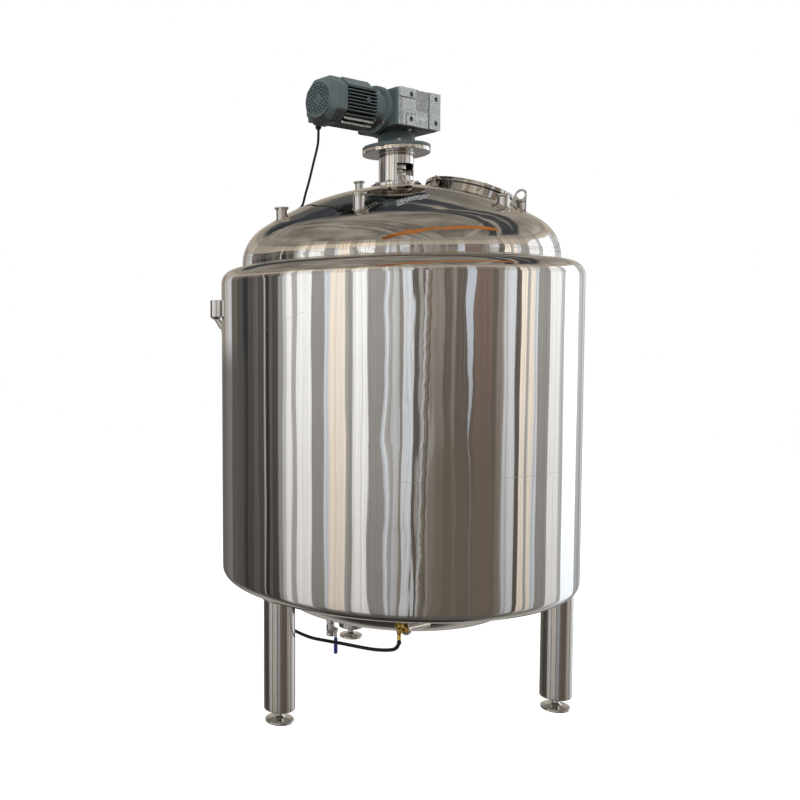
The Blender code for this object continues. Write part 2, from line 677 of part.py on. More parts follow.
def make_hinge_bracket(frame):
    """Two ears on the collar's far side with the pin between them."""
    inner = HINGE_BARREL_HALF + 0.0015
    outer = inner + HINGE_EAR
    bracket = box("lid_hinge_bracket", (MANHOLE_RADIUS - 0.004, -outer, -0.006),
                  (HINGE_REACH - 0.004, outer, 0.006), satin())
    for side in (-1.0, 1.0):
        low, high = sorted((side * inner, side * outer))
        ear = box("ear", (HINGE_REACH - 0.0105, low, -0.006),
                  (HINGE_REACH + 0.011, high, HINGE_HEIGHT + 0.010), None)
        fuse(bracket, ear)
    pin = solid_cylinder("pin", HINGE_PIN_RADIUS, -outer - 0.004, outer + 0.004, None, 16)
    fuse(bracket, moved(pin, hinge_axis()))
    turn = Matrix.Rotation(math.radians(HINGE_ANGLE), 4, "Z")
    moved(bracket, frame @ turn)
    cut(bracket, moved(solid_cylinder("collar_clear", MANHOLE_RADIUS + GAP, -0.1, 0.1, None, 36), frame))


def make_nozzles(top_head):
    for name, azimuth, distance, top, pipe, flange in NOZZLES:
        inner = pipe - NOZZLE_WALL
        bottom = dome_height(distance + pipe) - 0.020
        outline = [(inner, bottom), (pipe, bottom), (pipe, top - FERRULE_THICKNESS - 0.002),
                   (flange, top - FERRULE_THICKNESS + 0.002), (flange, top), (inner, top)]
        nozzle = turned(name, outline, polished(), 16)
        moved(nozzle, Matrix.Translation(on_circle(distance, azimuth)))
        hole = solid_cylinder("nozzle_hole", pipe + GAP, 1.60, 1.95, None, 16)
        cut(top_head, moved(hole, Matrix.Translation(on_circle(distance, azimuth))))


def make_lugs():
    for number, azimuth in enumerate(LUG_AZIMUTHS, start=1):
        eye = (LUG_HOLE_OUT, LUG_HOLE_HEIGHT)
        outline = [(-0.030, -0.050), (LUG_HOLE_OUT + LUG_HEAD_RADIUS, -0.050)]
        outline += arc(eye, LUG_HEAD_RADIUS, 0.0, 150.0, 6) + [(-0.030, 0.024)]
        plate = extruded(f"lifting_lug_{number}", outline, -LUG_THICKNESS / 2, LUG_THICKNESS / 2, polished())
        hole = solid_cylinder("lug_hole", LUG_HOLE_RADIUS, -0.05, 0.05, None, 16)
        cut(plate, moved(hole, Matrix.Translation((*eye, 0.0))))
        upright = Matrix.Rotation(math.pi / 2, 4, "X")
        moved(plate, placed(on_circle(LUG_DISTANCE, azimuth, dome_height(LUG_DISTANCE)), azimuth) @ upright)
        cut(plate, dome_copy(GAP))


def straight_bar(name, start, end, radius, sides=12):
    """A straight round bar between two points."""
    ahead = Vector(end) - Vector(start)
    bar = solid_cylinder(name, radius, 0.0, ahead.length, None, sides)
    return moved(bar, Matrix.Translation(start) @ ahead.to_track_quat("Z", "Y").to_matrix().to_4x4())


def make_inlet():
    """Side inlet: an upright socket with a rounded foot, and the pipe that joins it to the jacket."""
    foot = [(0.0, SOCKET_BOTTOM - 0.014), (0.012, SOCKET_BOTTOM - 0.012), (0.018, SOCKET_BOTTOM - 0.007),
            (SOCKET_RADIUS, SOCKET_BOTTOM)]
    inlet = turned("jacket_inlet", foot + [(SOCKET_RADIUS, SOCKET_TOP), (SOCKET_BORE, SOCKET_TOP),
                                           (SOCKET_BORE, SOCKET_TOP - 0.030), (0.0, SOCKET_TOP - 0.030)],
                   satin(), 12)
    moved(inlet, Matrix.Translation((INLET_REACH, 0.0, 0.0)))
    fuse(inlet, straight_bar("pipe", (INLET_REACH + 0.001, 0.0, SOCKET_BOTTOM - 0.002), (0.630, 0.0, 1.356),
                      INLET_PIPE_RADIUS))
    moved(inlet, placed((0.0, 0.0, 0.0), INLET_AZIMUTH))
    cut(inlet, solid_cylinder("jacket_clear", JACKET_RADIUS + GAP, 1.2, 1.52, None, JACKET_SIDES))


def make_drain(jacket_bottom, bottom_head):
    x, y = DRAIN_PLACE
    place = Matrix.Translation((x, y, 0.0))
    away = math.hypot(x, y)
    inside = VESSEL_BOTTOM_LINE + JACKET_TOP - dome_height(away) + VESSEL_WALL
    bore = DRAIN_PIPE_RADIUS - DRAIN_PIPE_WALL
    low = VALVE_TOP + GAP
    collar = VALVE_RADIUS
    outline = [(bore, low), (collar, low), (collar, low + 0.012), (DRAIN_PIPE_RADIUS, low + 0.012),
               (DRAIN_PIPE_RADIUS, inside), (bore, inside)]
    pipe = turned("drain_pipe", outline, satin(), 16)
    moved(pipe, place)
    for shell in (jacket_bottom, bottom_head):
        hole = solid_cylinder("hole", DRAIN_PIPE_RADIUS + GAP, low + 0.012 + GAP, 0.50, None, 16)
        cut(shell, moved(hole, place))
    make_valve(place)
    make_lever()


def valve_middle():
    return (VALVE_TOP + VALVE_BOTTOM) / 2


def make_valve(place):
    """Ball valve body with the stem and the pin that carry the lever."""
    middle = valve_middle()
    waist = VALVE_RADIUS - 0.003
    bore = 0.0100
    outline = [(bore, VALVE_BOTTOM), (VALVE_RADIUS, VALVE_BOTTOM), (VALVE_RADIUS, VALVE_BOTTOM + 0.011),
               (waist, VALVE_BOTTOM + 0.013), (VALVE_RADIUS, middle - 0.009), (VALVE_RADIUS, middle + 0.009),
               (waist, VALVE_TOP - 0.013), (VALVE_RADIUS, VALVE_TOP - 0.011), (VALVE_RADIUS, VALVE_TOP),
               (bore, VALVE_TOP)]
    valve = turned("drain_valve", outline, satin(), 12)
    stem = solid_cylinder("stem", 0.0075, 0.0125, LEVER_OFFSET - LEVER_THICKNESS / 2 - GAP, None, 12)
    pin = solid_cylinder("pin", LEVER_PIN_RADIUS, 0.020, LEVER_OFFSET + 0.006, None, 12)
    sideways = placed((0.0, 0.0, middle), VALVE_STEM_AZIMUTH) @ Matrix.Rotation(math.pi / 2, 4, "Y")
    fuse(valve, moved(stem, sideways), moved(pin, sideways))
    moved(valve, place)


def make_lever():
    """Flat steel lever and its sleeved grip, hanging along the open valve."""
    x, y = DRAIN_PLACE
    middle = valve_middle()
    low_x = LEVER_OFFSET - LEVER_THICKNESS / 2
    high_x = LEVER_OFFSET + LEVER_THICKNESS / 2
    lever = box("drain_lever", (low_x, -0.0055, LEVER_GRIP_TOP - 0.020), (high_x, 0.0055, middle), satin())
    lie = Matrix.Translation((0.0, 0.0, middle)) @ Matrix.Rotation(math.pi / 2, 4, "Y")
    fuse(lever, moved(solid_cylinder("eye", 0.0105, low_x, high_x, None, 16), lie))
    cut(lever, moved(solid_cylinder("bore", LEVER_PIN_RADIUS + 0.0004, 0.0, 0.1, None, 12), lie))
    turn = placed((x, y, 0.0), VALVE_STEM_AZIMUTH)
    pivot = turn @ Vector((LEVER_OFFSET, 0.0, middle))
    moved(lever, turn)
    set_origin(lever, pivot)
    sleeve = [(0.0, LEVER_BOTTOM), (0.005, LEVER_BOTTOM), (0.0075, LEVER_BOTTOM + 0.005),
              (0.0075, LEVER_GRIP_TOP - 0.004), (0.006, LEVER_GRIP_TOP), (0.0, LEVER_GRIP_TOP)]
    grip = turned("drain_lever_grip", sleeve, blue_sleeve(), 12)
    half = LEVER_THICKNESS / 2 + GAP
    cut(grip, box("slot", (-half, -0.0058, LEVER_GRIP_TOP - 0.020 - GAP), (half, 0.0058, middle), None))
    moved(grip, turn @ Matrix.Translation((LEVER_OFFSET, 0.0, 0.0)))
    set_origin(grip, pivot)


def make_jacket_drain():
    place = Matrix.Translation(RING_PLACE) @ placed((0.0, 0.0, 0.0), STUB_AZIMUTH) @ (
        Matrix.Rotation(math.pi / 2, 4, "Y"))
    face = 0.007
    outline = [(0.0, -STUB_LENGTH), (STUB_RADIUS, -STUB_LENGTH), (STUB_RADIUS, -0.008),
               (RING_RADIUS, -0.005), (RING_RADIUS, face), (0.0, face)]
    stub = turned("jacket_drain_stub", outline, satin(), 20)
    moved(stub, place)
    cut(stub, dish_copy())
    ball = Vector(ELBOW_PLACE)
    start = place @ Vector((0.0, 0.0, face + GAP))
    body = [(0.0, -0.013), (0.008, -0.012), (0.013, -0.006), (0.013, 0.006), (0.008, 0.012), (0.0, 0.013)]
    elbow = turned("brass_elbow", body, brass(), 12)
    moved(elbow, Matrix.Translation(ball))
    collar = solid_cylinder("collar", 0.0135, face + GAP, face + 0.010, None, 12)
    arm = straight_bar("arm", start + (ball - start) * 0.25, ball, 0.0095)
    tail = turned("tail", hose_tail(BARB_BOTTOM, ball.z), None, 12)
    fuse(elbow, arm, moved(collar, place), moved(tail, Matrix.Translation((ball.x, ball.y, 0.0))))
    low = BARB_BOTTOM + 0.032 + GAP
    high = JACKET_BOTTOM - GAP
    fitting = turned("jacket_fitting", hose_tail(low, high), satin(), 12)
    moved(fitting, Matrix.Translation((*FITTING_PLACE, 0.0)))


def hose_tail(low, high):
    """Outline of a hose tail: a slim spigot that widens upwards to its pipe."""
    return [(0.0, low), (BARB_RADIUS, low), (BARB_RADIUS + 0.001, low + 0.018), (0.0090, low + 0.026),
            (0.0090, high), (0.0, high)]


def dish_copy():
    """A solid of the bottom dish's outer form, a little grown, for trimming the stub that meets it."""
    curve = head_curve(DISH_RADIUS, DISH_KNUCKLE, DISH_CROWN, KNUCKLE_STEPS, CROWN_STEPS)
    outline = [(0.0, JACKET_BOTTOM + 0.01), (DISH_RADIUS + GAP, JACKET_BOTTOM + 0.01)]
    outline += [(r + (GAP if r > 0.0 else 0.0), JACKET_BOTTOM - z - GAP) for r, z in curve]
    return turned("dish_copy", outline, None, JACKET_SIDES)


def smooth_route(points, spacing):
    """Evenly spaced points on a Catmull-Rom curve through a hand-set route."""
    knots = [Vector(point) for point in points]
    knots = [2 * knots[0] - knots[1]] + knots + [2 * knots[-1] - knots[-2]]
    dense = []
    for index in range(1, len(knots) - 2):
        p0, p1, p2, p3 = knots[index - 1:index + 3]
        for step in range(40):
            t = step / 40
            dense.append(0.5 * (2 * p1 + (p2 - p0) * t + (2 * p0 - 5 * p1 + 4 * p2 - p3) * t ** 2
                                + (3 * p1 - p0 - 3 * p2 + p3) * t ** 3))
    dense.append(knots[-2])
    total = sum((b - a).length for a, b in zip(dense, dense[1:]))
    count = max(int(total / spacing), 2)
    result, travelled, wanted = [dense[0]], 0.0, 1
    for a, b in zip(dense, dense[1:]):
        length = (b - a).length
        while wanted < count and travelled + length >= wanted * total / count:
            result.append(a.lerp(b, (wanted * total / count - travelled) / length))
            wanted += 1
        travelled += length
    result.append(dense[-1])
    return result


def cord(name, points, radius, spacing, finish):
    """A flexible line: a round curve with closed ends along its route."""
    route = smooth_route(points, radius * spacing)
    curve = bpy.data.curves.new(name, "CURVE")
    curve.dimensions = "3D"
    curve.bevel_depth = radius
    curve.bevel_resolution = 2
    curve.use_fill_caps = True
    line = curve.splines.new("POLY")
    line.points.add(len(route) - 1)
    for slot, point in zip(line.points, route):
        slot.co = (*point, 1.0)
    curve.materials.append(finish)
    made = bpy.data.objects.new(name, curve)
    bpy.context.scene.collection.objects.link(made)


def make_cords():
    cord("jacket_hose", HOSE_ROUTE, HOSE_RADIUS, 4.0, black_rubber())
    cord("motor_lead", LEAD_ROUTE, LEAD_RADIUS, 6.0, black_rubber())
    x, y, z = LEAD_ROUTE[-1]
    end = turned("motor_lead_end", [(0.0, -LEAD_END_LENGTH), (0.0035, -LEAD_END_LENGTH), (0.0045, -GAP),
                                    (0.0, -GAP)], brass(), 10)
    moved(end, Matrix.Translation((x, y, z)))


def main():
    clear_scene()
    make_jacket()
    jacket_bottom = make_jacket_bottom()
    top_head, bottom_head = make_vessel()
    make_legs()
    make_neck(top_head)
    make_gearbox()
    make_motor()
    make_agitator()
    make_manhole(top_head)
    make_nozzles(top_head)
    make_lugs()
    make_inlet()
    make_drain(jacket_bottom, bottom_head)
    make_jacket_drain()
    make_cords()


main()
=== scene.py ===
"""Looks of the jacketed mixing tank: finishes, fine pieces, cords, studio and camera.

Run as a script round the packed model. Metres, +Z up, in the packed model's own frame.
"""
import math

import bmesh
import bpy
from bpy.props import FloatProperty, FloatVectorProperty, IntProperty, PointerProperty
from mathutils import Matrix, Vector, noise


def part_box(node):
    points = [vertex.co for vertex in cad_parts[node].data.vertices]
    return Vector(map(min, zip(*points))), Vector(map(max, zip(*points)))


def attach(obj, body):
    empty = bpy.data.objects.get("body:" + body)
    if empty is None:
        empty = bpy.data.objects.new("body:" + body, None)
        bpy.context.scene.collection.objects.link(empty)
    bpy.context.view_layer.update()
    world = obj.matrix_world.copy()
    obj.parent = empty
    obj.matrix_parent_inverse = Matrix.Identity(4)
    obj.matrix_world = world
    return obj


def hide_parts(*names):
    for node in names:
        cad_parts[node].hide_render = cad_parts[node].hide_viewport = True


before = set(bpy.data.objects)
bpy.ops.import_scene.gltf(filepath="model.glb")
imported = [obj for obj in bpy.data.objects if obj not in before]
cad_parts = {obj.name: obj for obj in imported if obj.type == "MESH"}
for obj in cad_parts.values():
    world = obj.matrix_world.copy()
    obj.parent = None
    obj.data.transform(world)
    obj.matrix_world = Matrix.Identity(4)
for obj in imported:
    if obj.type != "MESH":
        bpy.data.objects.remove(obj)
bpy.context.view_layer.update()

bl_info = {
    "name": "Jacketed mixing tank looks",
    "version": (1, 0, 0),
    "blender": (4, 5, 0),
    "location": "View3D > Sidebar > Tank",
    "description": "Dresses the packed mixing tank with its finishes and fine pieces",
    "category": "Object",
}

GAP = 0.0003

# Jacket and vessel
JACKET_LOW, JACKET_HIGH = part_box("jacket_wall")
JACKET_RADIUS = JACKET_HIGH.x
JACKET_BOTTOM = JACKET_LOW.z
JACKET_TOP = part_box("jacket_shoulder")[1].z
JACKET_SHEET = 0.003
CORNER_RADIUS = 0.032
SHOULDER_SEAM, SHOULDER_RADIUS, SHOULDER_SLOPE = 1.533, 0.050, 6.0
FLOOR_SHEET = 0.005
DISH_RADIUS, DISH_KNUCKLE, DISH_CROWN = 0.4615, 0.105, 1.240
VESSEL_RADIUS, HEAD_KNUCKLE, HEAD_CROWN = 0.570, 0.150, 0.918
VESSEL_WALL = 0.005
HEAD_SKIRT = 0.019
HEAD_RIM = JACKET_TOP + HEAD_SKIRT
JACKET_SIDES = 256
SHEET_ROWS = 44
SHEET_WAVE = 0.0008
SEAM_AZIMUTH, SEAM_LEAN = -42.6, 2.0

# Legs
LEG_CIRCLE, LEG_RADIUS, LEG_BOTTOM = 0.578, 0.054, 0.045
LEG_AZIMUTHS = (-90.0, 30.0, 150.0)
FOOT_RADIUS = 0.050

# Neck, gearbox and motor
NECK_PAD_RADIUS, NECK_PAD_TOP, NECK_FLANGE_THICKNESS = 0.0915, 1.884, 0.011
NECK_RADIUS, NECK_WALL = 0.063, 0.004
TOP_FLANGE_BOTTOM, TOP_FLANGE_RADIUS, TOP_FLANGE_THICKNESS = 2.008, 0.123, 0.014
WINDOW_BOTTOM, WINDOW_TOP, WINDOW_HALF_WIDTH = 1.921, 1.966, 0.045
MOTOR_HEIGHT = 2.151
GEAR_FLANGE_THICKNESS, GEAR_HUB_RADIUS = 0.012, 0.067
GEAR_BOX_X, GEAR_BOX_Y, GEAR_BOX_Z = (-0.092, 0.104), (-0.112, 0.110), (2.082, 2.218)
FOOT_FACE_X = 0.114
FOOT_HOLES_Y, FOOT_HOLES_Z = (-0.050, 0.083), (2.108, 2.194)
NECK_BOLT_CIRCLE, FLANGE_BOLT_CIRCLE = 0.0775, 0.1040
ADAPTOR_RADIUS = 0.085
MOTOR_REAR, COWL_REAR, COWL_STEP, COWL_FRONT = 0.187, 0.332, 0.378, 0.400
COWL_HALF, COWL_CORNER = 0.078, 0.038
GRILLE_RADIUS = 0.057
TERMINAL_LOW, TERMINAL_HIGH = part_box("terminal_box")

# Agitator
SHAFT_RADIUS, SHAFT_BORE, COUPLING_RADIUS = 0.020, 0.028, 0.038

COUPLING_LOW, COUPLING_HIGH = 1.905, 1.982
SHAFT_END, IMPELLER_LOW, IMPELLER_HIGH, IMPELLER_RADIUS = 0.480, 0.490, 0.560, 0.200

# Manhole
MANHOLE_AZIMUTH, MANHOLE_DISTANCE, MANHOLE_RADIUS = 57.0, 0.279, 0.168
MANHOLE_WALL, MANHOLE_RISE = 0.006, 0.014
LID_RADIUS, LID_THICKNESS, LID_DISH = 0.174, 0.013, 0.008
LID_UNDERSIDE = MANHOLE_RISE + GAP
LID_TOP = LID_UNDERSIDE + LID_THICKNESS
HINGE_ANGLE, HINGE_REACH, HINGE_BARREL_HALF = 85.0, 0.192, 0.018
HINGE_HEIGHT = LID_TOP + 0.006
CLAMP_ANGLES = (-155.0, -95.0, -35.0)

# Dome nozzles: name, azimuth, distance, height of the flange's top, pipe and flange radius
NOZZLES = (
    ("nozzle_left", -107.2, 0.464, 1.796, 0.01905, 0.02525),
    ("nozzle_front", -63.0, 0.470, 1.801, 0.01905, 0.02525),
    ("nozzle_right", 2.7, 0.448, 1.802, 0.01905, 0.02525),
    ("nozzle_rear", 173.5, 0.208, 1.940, 0.0165, 0.0225),
)
FERRULE_THICKNESS, NOZZLE_WALL = 0.0064, 0.0030

# Lifting lugs
LUG_AZIMUTHS = (14.6, 194.6)
LUG_DISTANCE, LUG_THICKNESS, LUG_HOLE_RADIUS = 0.458, 0.010, 0.0135
LUG_EYE, LUG_HEAD_RADIUS = (0.006, 0.0455), 0.020

# Side inlet
INLET_AZIMUTH, INLET_REACH, INLET_PIPE_RADIUS = -131.0, 0.6725, 0.010
SOCKET_RADIUS, SOCKET_BORE, SOCKET_BOTTOM, SOCKET_TOP = 0.0215, 0.0145, 1.417, 1.478

# Outlet valve and its lever
DRAIN_PLACE = Vector((-0.0827, -0.2496, 0.0))
VALVE_TOP, VALVE_BOTTOM, VALVE_RADIUS, VALVE_BORE = 0.2760, 0.2180, 0.0165, 0.0100
VALVE_STEM_AZIMUTH, LEVER_OFFSET, LEVER_THICKNESS = -8.0, 0.030, 0.003
LEVER_BOTTOM, LEVER_GRIP_TOP = 0.156, 0.218

# Jacket drain
RING_PLACE, STUB_AZIMUTH = (0.3602, -0.3454, 0.3760), -95.0
STUB_RADIUS, STUB_LENGTH, RING_RADIUS = 0.0125, 0.100, 0.0225
ELBOW_PLACE = Vector((0.3576, -0.3753, 0.3890))
BARB_BOTTOM, BARB_RADIUS = 0.342, 0.0060
FITTING_PLACE = Vector((-0.170, -0.450, 0.0))

# Cords: the hose of the jacket's drain and the motor's lead, on the packed model's routes
HOSE_RADIUS = 0.0060
HOSE_ROUTE = (
    (0.3576, -0.3753, BARB_BOTTOM - 0.0020), (0.3570, -0.3753, 0.3300), (0.3500, -0.3764, 0.3160),
    (0.3370, -0.3782, 0.3050), (0.3065, -0.3825, 0.2950), (0.2617, -0.3889, 0.2865),
    (0.2139, -0.3956, 0.2815), (0.1330, -0.4071, 0.2755), (0.0664, -0.4165, 0.2695),
    (-0.0023, -0.4262, 0.2650), (-0.0691, -0.4357, 0.2715), (-0.1150, -0.4425, 0.2850),
    (-0.1470, -0.4468, 0.3050), (-0.1655, -0.4494, 0.3330), (-0.1700, -0.4500, 0.3600),
    (-0.1700, -0.4500, BARB_BOTTOM + 0.0315),
)
LEAD_RADIUS = 0.0045
LEAD_ROUTE = (
    (-0.1150, -0.2850, 2.0845), (-0.1152, -0.2849, 2.0640), (-0.1200, -0.2840, 2.0290),
    (-0.1450, -0.2810, 1.9700), (-0.1710, -0.2770, 1.9120), (-0.1960, -0.2720, 1.8680),
    (-0.2240, -0.2640, 1.8260), (-0.2700, -0.2520, 1.8145), (-0.3300, -0.2370, 1.7972),
    (-0.3900, -0.2220, 1.7750), (-0.4450, -0.2080, 1.7500), (-0.4950, -0.1960, 1.7195),
    (-0.5400, -0.1900, 1.6830), (-0.5800, -0.1930, 1.6380), (-0.6120, -0.2040, 1.6050),
    (-0.6320, -0.2150, 1.5600), (-0.6360, -0.2220, 1.5000), (-0.6340, -0.2280, 1.4000),
    (-0.6290, -0.2400, 1.2000), (-0.6270, -0.2460, 1.0000), (-0.6290, -0.2410, 0.7500),
    (-0.6320, -0.2330, 0.5500), (-0.6330, -0.2300, 0.4350),
)

# Finishes: tints, and the scratches on the jacket
CASTINGS = {"bare_casting": (0.60, 0.635, 0.665), "rough_casting": (0.40, 0.42, 0.445),
            "bare_strip": (0.66, 0.65, 0.62)}
# The first tint is a painted dark reflection for the underside of the top flange.
FLANGE_SHADE_TINT, BOLT_TINT = (0.20, 0.165, 0.14), (0.74, 0.71, 0.66)
# The first tint is near-black for dark parts and for painted shade in gaps, bores and behind the grille; the
# second is painted shade on the paint's underside.
BLACK_AND_SHADE_TINT, UNDERSIDE_SHADE_TINT = (0.006, 0.006, 0.006), (0.030, 0.028, 0.026)
SEAM_TINT, SCRATCH_TINT, DUST_TINT = (0.60, 0.51, 0.41), (0.52, 0.50, 0.47), (0.30, 0.31, 0.30)
SCRATCHES = (
    {"from": -103.0, "to": -74.0, "start_height": 1.305, "rise": 0.0038, "width": 0.0009},
    {"from": -108.0, "to": -92.0, "start_height": 1.270, "rise": 0.0050, "width": 0.0006},
    {"from": -48.0, "to": -26.0, "start_height": 0.883, "rise": -0.0005, "width": 0.0009},
    {"from": -37.0, "to": 60.0, "start_height": 0.889, "rise": 0.0, "width": 0.0011},
    {"from": -37.0, "to": -26.0, "start_height": 0.708, "rise": 0.0, "width": 0.0008},
)

# Studio. The hall that the polished steel mirrors: where each band starts, in degrees round the tank.
TONES = {
    "night": (0.043, 0.044, 0.047), "shade": (0.105, 0.098, 0.092), "umber": (0.170, 0.147, 0.130),
    "brown": (0.245, 0.178, 0.148), "taupe": (0.335, 0.298, 0.262), "grey": (0.410, 0.395, 0.375),
    "stone": (0.540, 0.525, 0.505), "silver": (0.690, 0.700, 0.710), "pale": (0.840, 0.880, 0.930),
    "cream": (1.170, 1.050, 0.910), "window": (1.200, 1.200, 1.190), "sky": (1.750, 1.880, 2.050),
}
HALL = (
    (0.0, "brown"), (10.2, "umber"), (13.5, "taupe"), (17.9, "silver"), (21.5, "pale"), (26.7, "umber"),
    (30.3, "cream"), (34.8, "stone"), (37.2, "cream"), (40.5, "pale"), (44.1, "grey"), (54.6, "window"),
    (66.3, "silver"), (71.2, "sky"), (92.0, "silver"), (99.6, "stone"), (106.6, "pale"), (112.0, "grey"),
    (126.0, "stone"), (140.0, "grey"), (152.0, "taupe"), (166.0, "stone"), (174.0, "silver"),
    (180.7, "umber"), (190.9, "shade"), (198.5, "night"), (204.5, "shade"), (210.8, "umber"),
    (216.0, "shade"), (221.0, "stone"), (222.4, "night"), (226.0, "umber"), (229.0, "shade"), (234.5, "grey"),
    (238.0, "silver"), (240.8, "window"), (245.0, "stone"), (248.7, "window"), (260.2, "grey"),
    (268.7, "pale"), (271.5, "cream"), (281.7, "stone"), (283.4, "grey"), (286.2, "window"),
    (295.5, "grey"), (305.2, "pale"), (307.5, "stone"), (309.5, "silver"), (313.0, "taupe"),
    (315.1, "pale"), (321.8, "umber"), (324.6, "grey"), (327.4, "umber"), (330.0, "grey"),
    (332.3, "taupe"), (340.5, "umber"), (345.0, "taupe"), (347.4, "umber"),
)
HALL_SECTOR, HALL_EDGE = 45, 0.28
UPPER_WALL = ((11.0, (0.62, 0.54, 0.45)), (12.5, (1.02, 0.90, 0.73)), (19.0, (0.84, 0.74, 0.60)),
              (22.5, (0.34, 0.29, 0.24)), (24.0, (0.56, 0.50, 0.42)), (30.0, (0.240, 0.217, 0.185)))
MULLIONS = (5.8, 8.4)
PANE, PANE_BAR = 2.9, 0.42
ROOF, ROOF_LIGHT = (0.165, 0.146, 0.120), (0.365, 0.330, 0.280)
ROOF_DARK = (0.070, 0.072, 0.074)
NEAR_FLOOR, FAR_FLOOR = (0.11, 0.104, 0.094), (0.42, 0.40, 0.37)
RAIL = (0.46, 0.165, 0.045)
VAULT_TONE, ARCH_TONE = (0.42, 0.375, 0.315), (0.040, 0.046, 0.054)
DUSK_TONE, GLEAM_TONE, UNDER_TANK = (0.150, 0.125, 0.100), (0.80, 0.88, 1.0), (0.040, 0.037, 0.034)
STREAKS = ((0.62, 0.62, 0.64), (1.30, 1.30, 1.28))
FLOOR_FADE = ((0.36, 0.345, 0.335), (1.0, 1.0, 1.0))
WHITE = (1.0, 1.0, 1.0)

# The roof's beams, as normals of planes through the middle like those of the vaults, arches and rails
BEAMS = ((0.30, 0.86, 0.41), (0.24, 0.92, 0.30), (0.38, 0.78, 0.50), (0.10, 0.97, 0.22))
RAILS = (((-0.795, -0.108, 0.597), 300.0, 352.0), ((-0.753, 0.072, 0.654), 350.0, 400.0))
VAULTS = ((0.10, -0.80, 0.60), (0.48, -0.66, 0.58), (-0.24, -0.78, 0.58), (0.34, 0.84, 0.44))
ARCHES = ((0.189, -0.884, 0.428), (0.291, -0.793, 0.535), (0.274, -0.705, 0.654))
CAMERA_PLACE = (2.35521, -2.66116, 1.32256)
CAMERA_HEADING, CAMERA_PITCH, CAMERA_ROLL = 0.95864, -0.06365, -0.00884
CAMERA_LENS, CAMERA_SHIFT, SENSOR = 41.332, 0.28, 36.0


# Settings that a user would change

class TankShellSettings(bpy.types.PropertyGroup):
    """Polished and satin steel of the tank"""

    steel_tint: FloatVectorProperty(
        name="Steel tint", description="Colour of the polished sheet", subtype="COLOR", size=3,
        min=0.0, max=1.0, default=(0.80, 0.785, 0.765))
    satin_tint: FloatVectorProperty(
        name="Satin tint", description="Colour of the legs and of cast fittings", subtype="COLOR", size=3,
        min=0.0, max=1.0, default=(0.66, 0.64, 0.61))
    sheet_wave: FloatProperty(
        name="Sheet wave", description="How far the rolled sheet strays from a true cylinder",
        default=SHEET_WAVE, min=0.0, max=0.003, unit="LENGTH")
    weld_radius: FloatProperty(
        name="Weld radius", description="Radius of the welds round nozzles and pads",
        default=0.0028, min=0.0005, max=0.008, unit="LENGTH")


class TankDriveSettings(bpy.types.PropertyGroup):
    """Gearbox, motor and neck"""

    paint: FloatVectorProperty(
        name="Paint", description="Colour of the gearbox and motor", subtype="COLOR", size=3,
        min=0.0, max=1.0, default=(0.098, 0.130, 0.140))
    slot_length: FloatProperty(
        name="Slot length", description="Length of a slot in the fan's grille", default=0.0104, unit="LENGTH")
    slot_width: FloatProperty(
        name="Slot width", description="Width of a slot in the fan's grille", default=0.0042, unit="LENGTH")
    flange_bolts: IntProperty(
        name="Flange bolts", description="Bolts round the gearbox flange", default=4, min=3, max=24)
    neck_bolts: IntProperty(
        name="Neck bolts", description="Bolts round the neck's lower flange", default=8, min=3, max=24)


class TankFittingSettings(bpy.types.PropertyGroup):
    """Valve, hose and small fittings"""

    brass: FloatVectorProperty(
        name="Brass", description="Colour of the brass elbow", subtype="COLOR", size=3,
        min=0.0, max=1.0, default=(0.80, 0.56, 0.17))
    sleeve: FloatVectorProperty(
        name="Sleeve", description="Colour of the lever's sleeve", subtype="COLOR", size=3,
        min=0.0, max=1.0, default=(0.018, 0.050, 0.36))
    rubber: FloatVectorProperty(
        name="Rubber", description="Colour of the hose, lead and gasket", subtype="COLOR", size=3,
        min=0.0, max=1.0, default=(0.012, 0.012, 0.013))


class TankStageSettings(bpy.types.PropertyGroup):
    """Floor, light and camera"""

    floor_colour: FloatVectorProperty(
        name="Floor", description="Colour of the floor", subtype="COLOR", size=3,
        min=0.0, max=1.0, default=(0.88, 0.88, 0.88))
    floor_glow: FloatProperty(name="Floor glow", description="Light that the floor adds", default=0.85,
                              min=0.0)
    backdrop: FloatProperty(name="Backdrop", description="Brightness behind the tank", default=1.0, min=0.0)
    hall: FloatProperty(name="Hall", description="Brightness of the mirrored hall", default=1.0, min=0.0)
    key_power: FloatProperty(name="Key light", description="Power of the main soft light in watts",
                             default=110.0)
    lens: FloatProperty(name="Lens", description="Focal length of the camera in millimetres",
                        default=CAMERA_LENS)


# Node helpers

def add_node(tree, kind, inputs=None, **settings):
    """One node, with its settings, and each input either set or joined to an output."""
    made = tree.nodes.new(kind)
    for key, value in settings.items():
        setattr(made, key, value)
    for key, value in (inputs or {}).items():
        if isinstance(value, bpy.types.NodeSocket):
            tree.links.new(value, made.inputs[key])
        else:
            made.inputs[key].default_value = value
    return made


def calc(tree, operation, *values, clamp=False):
    """Output of one math node."""
    made = add_node(tree, "ShaderNodeMath", dict(enumerate(values)), operation=operation, use_clamp=clamp)
    return made.outputs[0]


def times(tree, first, second):
    return calc(tree, "MULTIPLY", first, second)


def apart(tree, first, second):
    """How far two values are from each other."""
    return calc(tree, "ABSOLUTE", calc(tree, "SUBTRACT", first, second))


def remap(tree, value, low, high, start=0.0, end=1.0, smooth=False):
    """A value between low and high, carried to start and end and held there."""
    kind = "SMOOTHSTEP" if smooth else "LINEAR"
    made = add_node(tree, "ShaderNodeMapRange", {"Value": value, "From Min": low, "From Max": high,
                                                 "To Min": start, "To Max": end}, interpolation_type=kind)
    return made.outputs["Result"]


def blend_colours(tree, share, first, second, mode="MIX"):
    """The first colour carried towards the second by a share."""
    made = add_node(tree, "ShaderNodeMix", {0: share, 6: first, 7: second}, data_type="RGBA", blend_type=mode)
    return made.outputs[2]


